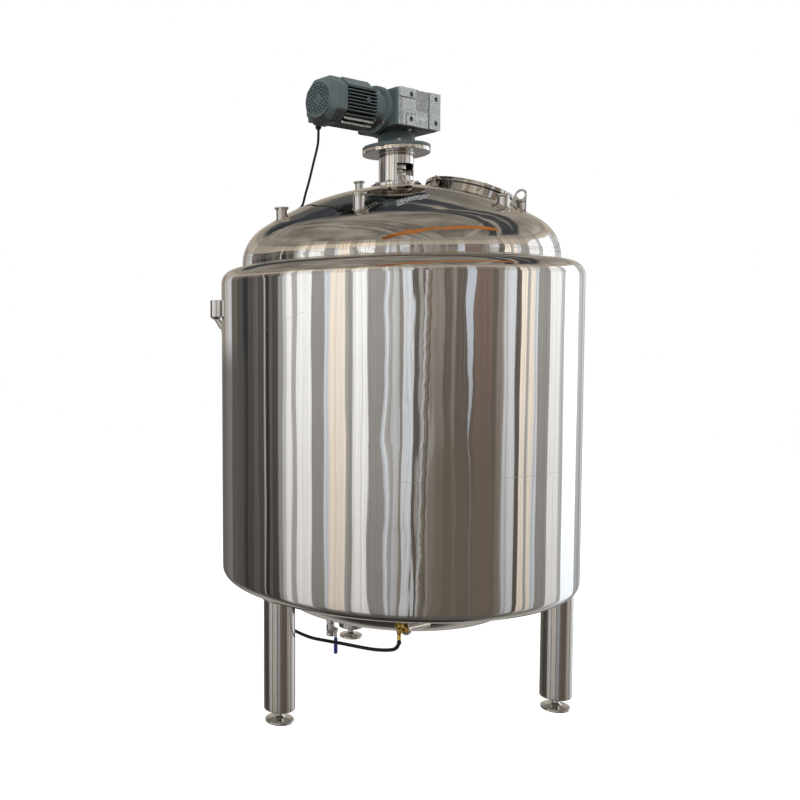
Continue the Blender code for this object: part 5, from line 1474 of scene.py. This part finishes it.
def make_lugs():
    """Lifting lugs with their eyes, welded to the dome."""
    for number, azimuth in enumerate(LUG_AZIMUTHS, start=1):
        outline = [(-0.030, -0.020), (LUG_EYE[0] + LUG_HEAD_RADIUS, -0.030)]
        outline += arc(LUG_EYE, LUG_HEAD_RADIUS, 0.0, 150.0, 18) + [(-0.030, 0.024)]
        half = LUG_THICKNESS / 2
        eye = drum(0.0, LUG_HOLE_RADIUS, -0.05, 0.05, 48, Matrix.Translation((*LUG_EYE, 0.0)))
        upright = placed(on_circle(LUG_DISTANCE, azimuth, dome_height(LUG_DISTANCE)), azimuth) @ TO_MINUS_Y
        plate = less(raised(outline, -half, half), eye)
        plate.transform(upright)
        piece(f"lug_plate_{number}", plate, "polished_part", nodes=[f"lifting_lug_{number}"], bevel=0.0012)
        beads = []
        for side in (-half, half):
            line = on_dome(upright @ Vector((-0.031 + 0.058 * step / 14, 0.0, side)) for step in range(15))
            beads.append(tube(line, 0.0030, 10))
        weld_piece(f"lug_welds_{number}", joined(*beads), "satin_part")


def make_inlet():
    """Side inlet: threaded socket with a rounded foot on a slanting pipe."""
    turn = placed((0.0, 0.0, 0.0), INLET_AZIMUTH)
    place = turn @ at(INLET_REACH, 0.0, 0.0)
    foot = [(0.0, SOCKET_BOTTOM - 0.014), (0.006, SOCKET_BOTTOM - 0.0136), (0.012, SOCKET_BOTTOM - 0.0115),
            (0.0170, SOCKET_BOTTOM - 0.0078), (0.0202, SOCKET_BOTTOM - 0.0035),
            (SOCKET_RADIUS, SOCKET_BOTTOM)]
    thread = []
    for ring in range(9):
        height = SOCKET_TOP - 0.0025 - ring * 0.0030
        thread += [(SOCKET_BORE, height), (SOCKET_BORE + 0.0009, height - 0.0015)]
    socket = foot + [(SOCKET_RADIUS, SOCKET_TOP - 0.0010), (SOCKET_RADIUS - 0.0010, SOCKET_TOP),
                     (SOCKET_BORE + 0.0012, SOCKET_TOP)] + thread + [(SOCKET_BORE, SOCKET_TOP - 0.030),
                                                                     (0.0, SOCKET_TOP - 0.030)]
    cup = turned(socket, 56, place)
    start = Vector((INLET_REACH + 0.001, 0.0, SOCKET_BOTTOM - 0.002))
    pipe = rod(turn @ start, turn @ Vector((0.6480, 0.0, 1.3722)), INLET_PIPE_RADIUS, 32)
    piece("inlet_socket", joined(cup, pipe), "polished_part", nodes=["jacket_inlet"])
    ring = []
    for step in range(36):
        angle = 2 * math.pi * step / 36
        around, up = 0.0104 * math.cos(angle), 0.0190 * math.sin(angle)
        spot = turn @ Vector((math.sqrt(JACKET_RADIUS ** 2 - around ** 2), around, 1.3760 + up))
        ring.append(spot)
    weld_piece("inlet_weld", tube(ring, 0.0022, 10, True), "satin_part")


def hex_collar(radius, low, high, place, chamfer=0.0008):
    return turned([(0.0, low), (radius - chamfer, low), (radius, low + chamfer), (radius, high - chamfer),
                   (radius - chamfer, high), (0.0, high)], 6, place)


def make_drain():
    """Outlet pipe, ball valve, and the lever with its blue sleeve."""
    place = Matrix.Translation(DRAIN_PLACE)
    low, high = VALVE_TOP + GAP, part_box("drain_pipe")[1].z
    bore, radius = 0.0120, 0.0145
    pipe = turned([(bore, low), (VALVE_RADIUS, low), (VALVE_RADIUS, low + 0.012), (radius, low + 0.014),
                   (radius, high), (bore, high)], 48, place, 0.0006)
    piece("outlet_pipe", pipe, "polished_part", nodes=["drain_pipe"])
    middle = (VALVE_TOP + VALVE_BOTTOM) / 2
    waist = VALVE_RADIUS - 0.003
    body = [(VALVE_BORE, VALVE_BOTTOM), (waist, VALVE_BOTTOM), (waist, VALVE_BOTTOM + 0.012),
            (VALVE_RADIUS - 0.001, VALVE_BOTTOM + 0.018), (VALVE_RADIUS, middle - 0.006),
            (VALVE_RADIUS, middle + 0.006), (VALVE_RADIUS - 0.001, VALVE_TOP - 0.018),
            (waist, VALVE_TOP - 0.012), (waist, VALVE_TOP), (VALVE_BORE, VALVE_TOP)]
    turn = placed(DRAIN_PLACE, VALVE_STEM_AZIMUTH)
    sideways = turn @ at(0.0, 0.0, middle) @ TO_X
    ends = []
    for start in (VALVE_BOTTOM, VALVE_TOP - 0.011):
        ring = turned([(VALVE_BORE, start), (VALVE_RADIUS - 0.0006, start), (VALVE_RADIUS, start + 0.0008),
                       (VALVE_RADIUS, start + 0.0102), (VALVE_RADIUS - 0.0006, start + 0.011),
                       (VALVE_BORE, start + 0.011)], 8, turn)
        ends.append(ring)
    stem = turned([(0.0, 0.0120), (0.0075, 0.0120), (0.0075, 0.0190), (0.0060, 0.0200), (0.0060, 0.0260),
                   (0.0, 0.0260)], 28, sideways, 0.0005)
    pin = drum(0.0, 0.0033, 0.0250, LEVER_OFFSET + 0.0020, 20, sideways)
    nut = hex_collar(0.0062, LEVER_OFFSET + 0.0018, LEVER_OFFSET + 0.0060, sideways)
    piece("valve_body", joined(turned(body, 48, place, 0.0008), *ends, stem, pin, nut), "satin_part",
          nodes=["drain_valve"])
    make_lever(turn, middle)


def make_lever(turn, middle):
    low_x, high_x = LEVER_OFFSET - LEVER_THICKNESS / 2, LEVER_OFFSET + LEVER_THICKNESS / 2
    half, hidden, shoulder = 0.0055, LEVER_GRIP_TOP - 0.018, middle - 0.008
    blade = [(-half, hidden), (half, hidden), (half, shoulder)]
    blade += arc((0.0, middle), 0.0105, -40.0, 220.0, 10) + [(-half, shoulder)]
    flat = turn @ Matrix(((0, 0, 1, 0), (1, 0, 0, 0), (0, 1, 0, 0), (0, 0, 0, 1)))
    eye = drum(0.0, 0.0036, -0.05, 0.05, 24, flat @ at(0.0, middle, LEVER_OFFSET))
    plate = less(raised(blade, low_x, high_x, flat), eye)
    piece("lever_blade", plate, "satin_part", "lever", nodes=["drain_lever"], bevel=0.0005)
    outline = [(0.0, LEVER_BOTTOM), (0.0040, LEVER_BOTTOM + 0.0006), (0.0066, LEVER_BOTTOM + 0.0030),
               (0.0076, LEVER_BOTTOM + 0.0070), (0.0074, LEVER_GRIP_TOP - 0.030),
               (0.0070, LEVER_GRIP_TOP - 0.004), (0.0058, LEVER_GRIP_TOP), (0.0, LEVER_GRIP_TOP)]
    sleeve = turned(outline, 40, Matrix.Diagonal((0.82, 1.0, 1.0, 1.0)), 0.0008)
    sleeve.transform(turn @ at(LEVER_OFFSET, 0.0, 0.0))
    piece("lever_sleeve", sleeve, "blue_sleeve", "lever", nodes=["drain_lever_grip"])


def hose_tail(low, high, barbs=3):
    """Outline of a hose tail: ribbed spigot that widens upwards to its pipe."""
    outline = [(0.0, low), (BARB_RADIUS - 0.0008, low), (BARB_RADIUS + 0.0004, low + 0.0010)]
    for ring in range(barbs):
        base = low + 0.0010 + ring * 0.0052
        outline += [(BARB_RADIUS + 0.0008, base + 0.0006), (BARB_RADIUS - 0.0004, base + 0.0050)]
    return outline + [(BARB_RADIUS + 0.001, low + 0.020), (0.0088, low + 0.026), (0.0088, high), (0.0, high)]


def make_jacket_drain():
    """Stub with its ring out of the dish, the brass elbow, and the second hose tail."""
    place = Matrix.Translation(RING_PLACE) @ placed((0.0, 0.0, 0.0), STUB_AZIMUTH) @ TO_X
    face = 0.007
    stub = [(0.0, -STUB_LENGTH), (STUB_RADIUS, -STUB_LENGTH), (STUB_RADIUS, -0.010),
            (RING_RADIUS - 0.004, -0.007), (RING_RADIUS, -0.003), (RING_RADIUS, face - 0.001),
            (RING_RADIUS - 0.0010, face), (0.0170, face), (0.0160, face - 0.0030), (0.0, face - 0.0030)]
    under = [(r + (GAP if r > 0 else 0), JACKET_BOTTOM - z - GAP) for r, z in head_curve(
        DISH_RADIUS, DISH_KNUCKLE, DISH_CROWN)]
    cutter = turned([(0.0, JACKET_BOTTOM + 0.01), (DISH_RADIUS + GAP, JACKET_BOTTOM + 0.01)] + under, 96)
    piece("drain_stub", less(turned(stub, 56, place, 0.0008), cutter), "polished_part",
          nodes=["jacket_drain_stub"])
    ball = ELBOW_PLACE
    start = place @ Vector((0.0, 0.0, face - 0.0025))
    knob = turned([(0.0, -0.0130), (0.0052, -0.0122), (0.0094, -0.0090), (0.0122, -0.0045), (0.0130, 0.0),
                   (0.0122, 0.0045), (0.0094, 0.0090), (0.0052, 0.0122), (0.0, 0.0130)], 32,
                  Matrix.Translation(ball))
    arm = rod(start, ball, 0.0092, 28)
    nut = hex_collar(0.0150, face - 0.0028, face + 0.0075, place)
    front = Matrix.Translation(ball) @ (ball - start).to_track_quat("Z", "Y").to_matrix().to_4x4()
    cap = hex_collar(0.0085, 0.0085, 0.0150, front)
    tail = turned(hose_tail(BARB_BOTTOM, ball.z), 32, at(ball.x, ball.y, 0.0))
    piece("elbow", joined(knob, arm, nut, cap, tail), "brass", nodes=["brass_elbow"], sharp=40.0)
    low = BARB_BOTTOM + 0.032 + GAP
    fitting = turned(hose_tail(low, JACKET_BOTTOM - GAP), 32, Matrix.Translation(FITTING_PLACE))
    piece("second_tail", fitting, "satin_part", nodes=["jacket_fitting"])
    bands = []
    for spot, height in ((ball, BARB_BOTTOM - 0.0095), (FITTING_PLACE, low - 0.010)):
        centre = at(spot.x, spot.y, 0.0)
        bands.append(drum(HOSE_RADIUS, HOSE_RADIUS + 0.0011, height - 0.0035, height + 0.0035, 40, centre,
                          0.0003))
    piece("hose_clips", joined(*bands), "black_rubber")


def smooth_route(points, spacing):
    """Evenly spaced points on a Catmull-Rom curve through a hand-set route."""
    knots = [Vector(point) for point in points]
    knots = [2 * knots[0] - knots[1]] + knots + [2 * knots[-1] - knots[-2]]
    dense = []
    for index in range(1, len(knots) - 2):
        p0, p1, p2, p3 = knots[index - 1:index + 3]
        for step in range(40):
            t = step / 40
            dense.append(0.5 * (2 * p1 + (p2 - p0) * t + (2 * p0 - 5 * p1 + 4 * p2 - p3) * t ** 2
                                + (3 * p1 - p0 - 3 * p2 + p3) * t ** 3))
    dense.append(knots[-2])
    total = sum((b - a).length for a, b in zip(dense, dense[1:]))
    count = max(int(total / spacing), 2)
    result, travelled, wanted = [dense[0]], 0.0, 1
    for a, b in zip(dense, dense[1:]):
        length = (b - a).length
        while wanted < count and travelled + length >= wanted * total / count:
            result.append(a.lerp(b, (wanted * total / count - travelled) / length))
            wanted += 1
        travelled += length
    result.append(dense[-1])
    return result, total


def cord_curve(name, points, radius, look, node):
    """A free cord as a round curve along its route; returns it and its length."""
    route, length = smooth_route(points, radius * 1.5)
    curve = bpy.data.curves.new(name, "CURVE")
    curve.dimensions = "3D"
    curve.bevel_depth = radius
    curve.bevel_resolution = 6
    curve.use_fill_caps = True
    line = curve.splines.new("POLY")
    line.points.add(len(route) - 1)
    line.use_smooth = True
    for slot, point in zip(line.points, route):
        slot.co = (*point, 1.0)
    curve.materials.append(finish(look))
    made = add_object(name, curve)
    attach(made, "tank")
    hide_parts(node)
    return made, length


def make_cords():
    """The hose between the two tails and the motor's lead with its bare end."""
    hose, hose_length = cord_curve("drain_hose", HOSE_ROUTE, HOSE_RADIUS, "black_rubber", "jacket_hose")
    lead, lead_length = cord_curve("supply_lead", LEAD_ROUTE, LEAD_RADIUS, "black_rubber", "motor_lead")
    x, y, z = LEAD_ROUTE[-1]
    place = at(x, y, z)
    cores = []
    for index in range(3):
        angle = math.radians(120.0 * index + 20.0)
        reach, spread = 0.0020, 0.0026
        cores.append(tube([(x + reach * math.cos(angle), y + reach * math.sin(angle), z - GAP),
                           (x + reach * math.cos(angle), y + reach * math.sin(angle), z - 0.020),
                           (x + spread * math.cos(angle), y + spread * math.sin(angle), z - 0.038)], 0.0014,
                          12))
    sheath = turned([(0.0, -0.006), (0.0040, -0.006), (0.0044, -GAP), (0.0, -GAP)], 24, place, 0.0004)
    end = piece("lead_cores", joined(sheath, *cores), "brass", nodes=["motor_lead_end"], weighted=False)


# Studio

def ramp_of(tree, share, stops):
    """A colour ramp from its list of (position, colour)."""
    ramp = add_node(tree, "ShaderNodeValToRGB", {"Fac": share})
    elements = ramp.color_ramp.elements
    while len(elements) < len(stops):
        elements.new(0.5)
    for element, (position, colour) in zip(elements, stops):
        element.position = position
        element.color = rgba(colour)
    return ramp.outputs[0]


def hall_walls(tree, turn):
    """Tones round the hall: each sector's bands with soft edges between them."""
    walls = None
    for start in range(0, 360, HALL_SECTOR):
        end = start + HALL_SECTOR
        before = [tone for angle, tone in HALL if angle <= start][-1]
        stops = [(0.0, TONES[before])]
        for angle, tone in HALL:
            if start < angle < end:
                stops.append(((angle - HALL_EDGE - start) / HALL_SECTOR, TONES[before]))
                stops.append(((angle + HALL_EDGE - start) / HALL_SECTOR, TONES[tone]))
                before = tone
        share = calc(tree, "DIVIDE", calc(tree, "SUBTRACT", turn, float(start)), float(HALL_SECTOR))
        colour = ramp_of(tree, share, stops)
        walls = colour if walls is None else blend_colours(
            tree, calc(tree, "GREATER_THAN", turn, float(start)), walls, colour)
    return walls


def near_plane(tree, way, normal, half_width):
    """How close a direction lies to a great circle: 1 on it, 0 past its half width."""
    across = add_node(tree, "ShaderNodeVectorMath", {0: way, 1: normal},
                      operation="DOT_PRODUCT").outputs["Value"]
    return remap(tree, calc(tree, "ABSOLUTE", across), half_width * 0.7, half_width * 1.3, 1.0, 0.0,
                 smooth=True)


def hall_roof(tree, way, turn):
    """Roof of the hall: warm grey, with lighter arcs, a crane's rail and dark arches."""
    cloud = add_node(tree, "ShaderNodeTexNoise", {"Vector": way, "Scale": 2.2, "Detail": 3.0,
                                                  "Roughness": 0.55}).outputs[0]
    roof = blend_colours(tree, remap(tree, cloud, 0.38, 0.66), rgba(ROOF), rgba(ROOF_LIGHT))
    wander = add_node(tree, "ShaderNodeTexNoise", {"Vector": way, "Scale": 7.0, "Detail": 3.0,
                                                   "Roughness": 0.6}).outputs["Color"]
    shaken = add_node(tree, "ShaderNodeVectorMath", {0: wander, 1: (0.5, 0.5, 0.5)},
                      operation="SUBTRACT").outputs[0]
    shaken = add_node(tree, "ShaderNodeVectorMath", {0: shaken, "Scale": 0.07}, operation="SCALE").outputs[0]
    shaken = add_node(tree, "ShaderNodeVectorMath", {0: way, 1: shaken}, operation="ADD").outputs[0]
    for normal in BEAMS:
        roof = blend_colours(tree, times(tree, near_plane(tree, shaken, normal, 0.014), 0.55), roof,
                             rgba(ROOF_DARK))
    for normal in VAULTS:
        roof = blend_colours(tree, times(tree, near_plane(tree, shaken, normal, 0.030), 0.6), roof,
                             rgba(VAULT_TONE))
    parts = add_node(tree, "ShaderNodeSeparateXYZ", {0: way}).outputs
    away = apart(tree, turn, 148.0)
    dim = times(tree, remap(tree, away, 16.0, 34.0, 0.85, 0.0, smooth=True),
                remap(tree, parts[2], 0.86, 0.96, 1.0, 0.0))
    roof = blend_colours(tree, dim, roof, rgba(ROOF_DARK))
    ahead = calc(tree, "GREATER_THAN", parts[1], 0.05)
    for normal in ARCHES:
        share = times(tree, near_plane(tree, shaken, normal, 0.056), ahead)
        roof = blend_colours(tree, times(tree, share, 0.9), roof, rgba(ARCH_TONE))
    for normal, start, end in RAILS:
        past = calc(tree, "FLOORED_MODULO", calc(tree, "SUBTRACT", turn, start), 360.0)
        share = times(tree, near_plane(tree, shaken, normal, 0.062),
                      calc(tree, "LESS_THAN", past, end - start))
        roof = blend_colours(
            tree, share, roof, blend_colours(tree, remap(tree, cloud, 0.42, 0.58), rgba(RAIL),
                                             rgba(RAIL, 0.45)))
    return roof


def lower_walls(tree, turn, rise, streaks):
    """The hall's tones with streaks, a gleam, dusk and shade towards the floor, and glazing bars."""
    walls = hall_walls(tree, turn)
    walls = blend_colours(tree, 1.0, walls, streaks, "MULTIPLY")
    gleam = calc(tree, "LESS_THAN", apart(tree, turn, 357.0), remap(tree, rise, -6.0, 2.5, 0.3, 3.0))
    walls = blend_colours(tree, times(tree, gleam, 0.8), walls, rgba(GLEAM_TONE))
    walls = blend_colours(tree, 1.0, walls, graded(tree, rise, -30.0, 3.0, *FLOOR_FADE), "MULTIPLY")
    sideways = calc(tree, "FLOORED_MODULO", calc(tree, "ADD", turn, 185.0), 360.0)
    dusk = times(tree, remap(tree, apart(tree, sideways, 180.0), 17.0, 24.0, 1.0, 0.0),
                 remap(tree, rise, 2.0, -11.0, 0.12, 0.80, smooth=True))
    walls = blend_colours(tree, dusk, walls, rgba(DUSK_TONE))
    for height in MULLIONS:
        bar = calc(tree, "LESS_THAN", apart(tree, rise, height), 0.45)
        walls = blend_colours(tree, times(tree, bar, 0.5), walls, rgba(TONES["taupe"]))
    across = calc(tree, "LESS_THAN", calc(tree, "FLOORED_MODULO", turn, PANE), PANE_BAR)
    across = times(tree, across, remap(tree, rise, 4.6, 5.4, 0.0, 0.5))
    walls = blend_colours(tree, across, walls, rgba(TONES["taupe"]))
    machine = times(tree, remap(tree, rise, -2.0, 0.5, 0.75, 0.0, smooth=True),
                    remap(tree, apart(tree, turn, 175.0), 22.0, 30.0, 1.0, 0.0))
    walls = blend_colours(tree, machine, walls, rgba(TONES["shade"]))
    return walls


def upper_walls(tree, turn, rise, walls, streaks):
    """The wall above the windows, with some of the tones below it."""
    low, high = UPPER_WALL[0][0], UPPER_WALL[-1][0]
    stops = [((angle - low) / (high - low), tone) for angle, tone in UPPER_WALL]
    upper = ramp_of(tree, remap(tree, rise, low, high), stops)
    upper = blend_colours(tree, 0.55, upper, blend_colours(tree, 1.0, upper, walls, "MULTIPLY"))
    upper = blend_colours(tree, 1.0, upper, streaks, "MULTIPLY")
    shaded = remap(tree, apart(tree, turn, 258.0), 38.0, 62.0, 0.0, 0.55, smooth=True)
    upper = blend_colours(tree, shaded, upper, rgba(ROOF_LIGHT))
    return upper


def make_world(stage):
    """The hall that the steel mirrors, and a plain pale backdrop for the camera."""
    world = bpy.data.worlds.new("hall")
    bpy.context.scene.world = world
    world.use_nodes = True
    tree = world.node_tree
    tree.nodes.clear()
    way = add_node(tree, "ShaderNodeTexCoord").outputs["Generated"]
    parts = add_node(tree, "ShaderNodeSeparateXYZ", {0: way}).outputs
    turn = calc(tree, "FLOORED_MODULO", calc(tree, "DEGREES", calc(tree, "ARCTAN2", parts[1], parts[0])),
                360.0)
    rise = calc(tree, "DEGREES", calc(tree, "ARCSINE", parts[2]))
    streak = add_node(tree, "ShaderNodeTexNoise", {"W": turn, "Scale": 0.8, "Detail": 7.0, "Roughness": 0.84},
                      noise_dimensions="1D").outputs[0]
    streaks = graded(tree, streak, 0.3, 0.7, *STREAKS)
    walls = lower_walls(tree, turn, rise, streaks)
    upper = upper_walls(tree, turn, rise, walls, streaks)
    daylight = remap(tree, apart(tree, turn, 80.0), 18.0, 30.0, 7.0, 0.0)
    head = calc(tree, "SUBTRACT", rise, daylight)
    hall = blend_colours(tree, remap(tree, head, 10.6, 11.4), walls, upper)
    hall = blend_colours(tree, remap(tree, head, 24.0, 30.0), hall, hall_roof(tree, way, turn))
    behind = calc(tree, "COSINE", calc(tree, "RADIANS", calc(tree, "SUBTRACT", turn, 130.0)))
    floor = blend_colours(tree, remap(tree, behind, -0.2, 0.6, smooth=True), rgba(NEAR_FLOOR),
                          rgba(FAR_FLOOR))
    hall = blend_colours(tree, remap(tree, rise, -20.0, -44.0), hall, floor)
    hall = blend_colours(tree, remap(tree, rise, -55.0, -68.0), hall, rgba(UNDER_TANK))
    lit = add_node(tree, "ShaderNodeBackground", {"Color": hall, "Strength": stage.hall}).outputs[0]
    plain = add_node(tree, "ShaderNodeBackground",
                     {"Color": rgba(WHITE), "Strength": stage.backdrop}).outputs[0]
    seen = add_node(tree, "ShaderNodeLightPath").outputs["Is Camera Ray"]
    mixed = add_node(tree, "ShaderNodeMixShader", {0: seen, 1: lit, 2: plain}).outputs[0]
    add_node(tree, "ShaderNodeOutputWorld", {"Surface": mixed})


def soft_light(name, power, size, place, target):
    """A large soft lamp that the steel doesn't mirror."""
    lamp = bpy.data.lights.new(name, "AREA")
    lamp.energy = power
    lamp.shape = "DISK"
    lamp.color = (0.92, 0.97, 1.0)
    lamp.size = size
    made = bpy.data.objects.new(name, lamp)
    made.location = place
    made.rotation_euler = (Vector(target) - Vector(place)).to_track_quat("-Z", "Y").to_euler()
    made.visible_glossy = False
    bpy.context.scene.collection.objects.link(made)


def make_camera(stage):
    forward = Vector((-math.sin(CAMERA_HEADING) * math.cos(CAMERA_PITCH),
                      math.cos(CAMERA_HEADING) * math.cos(CAMERA_PITCH), math.sin(CAMERA_PITCH)))
    level = Vector((math.cos(CAMERA_HEADING), math.sin(CAMERA_HEADING), 0.0))
    upright = level.cross(forward)
    right = level * math.cos(CAMERA_ROLL) + upright * math.sin(CAMERA_ROLL)
    up = upright * math.cos(CAMERA_ROLL) - level * math.sin(CAMERA_ROLL)
    made = bpy.data.objects.new("camera", bpy.data.cameras.new("camera"))
    made.matrix_world = Matrix((
        (right.x, up.x, -forward.x, CAMERA_PLACE[0]), (right.y, up.y, -forward.y, CAMERA_PLACE[1]),
        (right.z, up.z, -forward.z, CAMERA_PLACE[2]), (0.0, 0.0, 0.0, 1.0)))
    made.data.sensor_width = SENSOR
    made.data.lens = stage.lens
    made.data.shift_x = CAMERA_SHIFT
    bpy.context.scene.collection.objects.link(made)
    bpy.context.scene.camera = made


def make_stage():
    """Floor, hall, lamps and camera."""
    stage = bpy.context.scene.tank_stage
    built = drum(0.0, 9.0, -0.02, -0.0002, 96)
    bmesh.ops.recalc_face_normals(built, faces=built.faces)
    mesh = mesh_of(built, "studio_floor")
    made, tree, shader = blank_material("pale_floor", 0.0, 0.6)
    shader.inputs["Base Color"].default_value = rgba(stage.floor_colour)
    seen = add_node(tree, "ShaderNodeLightPath").outputs["Is Camera Ray"]
    tree.links.new(times(tree, seen, stage.floor_glow), shader.inputs["Emission Strength"])
    shader.inputs["Emission Color"].default_value = rgba(WHITE)
    mesh.materials.append(made)
    floor = bpy.data.objects.new("studio_floor", mesh)
    floor.visible_glossy = False
    bpy.context.scene.collection.objects.link(floor)
    make_world(stage)
    soft_light("key_lamp", stage.key_power, 2.4, (3.4, -2.2, 4.2), (0.0, 0.0, 1.2))
    soft_light("fill_lamp", stage.key_power * 0.45, 2.6, (-3.2, -3.4, 2.6), (0.0, 0.0, 1.2))
    soft_light("top_lamp", stage.key_power * 0.5, 3.0, (0.0, 0.5, 5.2), (0.0, 0.0, 0.0))
    make_camera(stage)
    bpy.context.scene.view_settings.view_transform = "Standard"


# Operators: one for each group of pieces and one for the stage

def piece_operator(word, label, note, work):
    """An operator that makes one group of pieces."""
    def execute(self, context):
        work()
        return {"FINISHED"}

    return type(f"TANK_OT_{word}", (bpy.types.Operator,), {
        "__doc__": note, "bl_idname": f"tank.{word}", "bl_label": label, "execute": execute})


OPERATORS = (
    piece_operator("stage", "Studio", "Make the floor, the hall, the lamps and the camera", make_stage),
    piece_operator("cords", "Cords", "Make the hose and the motor's lead", make_cords),
    piece_operator("jacket", "Jacket", "Make the jacket's wall, shoulder and dish", make_jacket),
    piece_operator("heads", "Heads", "Make the dome and the vessel inside", make_heads),
    piece_operator("legs", "Legs", "Make the legs and their feet", make_legs),
    piece_operator("neck", "Neck", "Make the neck between tank and gearbox", make_neck),
    piece_operator("gearbox", "Gearbox", "Make the gearbox", make_gearbox),
    piece_operator("motor", "Motor", "Make the motor with its cowl", make_motor),
    piece_operator("agitator", "Agitator", "Make the shaft, coupling and impeller", make_agitator),
    piece_operator("manhole", "Manhole", "Make the manhole with its lid", make_manhole),
    piece_operator("nozzles", "Nozzles", "Make the nozzles on the dome", make_nozzles),
    piece_operator("lugs", "Lugs", "Make the lifting lugs", make_lugs),
    piece_operator("inlet", "Inlet", "Make the jacket's side inlet", make_inlet),
    piece_operator("drain", "Outlet", "Make the outlet valve and its lever", make_drain),
    piece_operator("jacket_drain", "Jacket drain", "Make the jacket's drain and its elbow",
                   make_jacket_drain),
)
SETTINGS = {"tank_shell": TankShellSettings, "tank_drive": TankDriveSettings,
            "tank_fittings": TankFittingSettings, "tank_stage": TankStageSettings}


class TANK_PT_looks(bpy.types.Panel):
    """Lists the tank's settings and operators"""

    bl_label = "Mixing tank"
    bl_idname = "TANK_PT_looks"
    bl_space_type = "VIEW_3D"
    bl_region_type = "UI"
    bl_category = "Tank"

    def draw(self, context):
        for name, kind in SETTINGS.items():
            group = getattr(context.scene, name)
            for key in kind.__annotations__:
                self.layout.prop(group, key)
        for operator in OPERATORS:
            self.layout.operator(operator.bl_idname)


def register():
    for kind in (*SETTINGS.values(), *OPERATORS, TANK_PT_looks):
        bpy.utils.register_class(kind)
    for name, kind in SETTINGS.items():
        setattr(bpy.types.Scene, name, PointerProperty(type=kind))


def unregister():
    for name in SETTINGS:
        delattr(bpy.types.Scene, name)
    for kind in reversed((*SETTINGS.values(), *OPERATORS, TANK_PT_looks)):
        bpy.utils.unregister_class(kind)


def main():
    register()
    for operator in OPERATORS:
        module, word = operator.bl_idname.split(".")
        getattr(getattr(bpy.ops, module), word)()


if __name__ == "__main__":
    main()
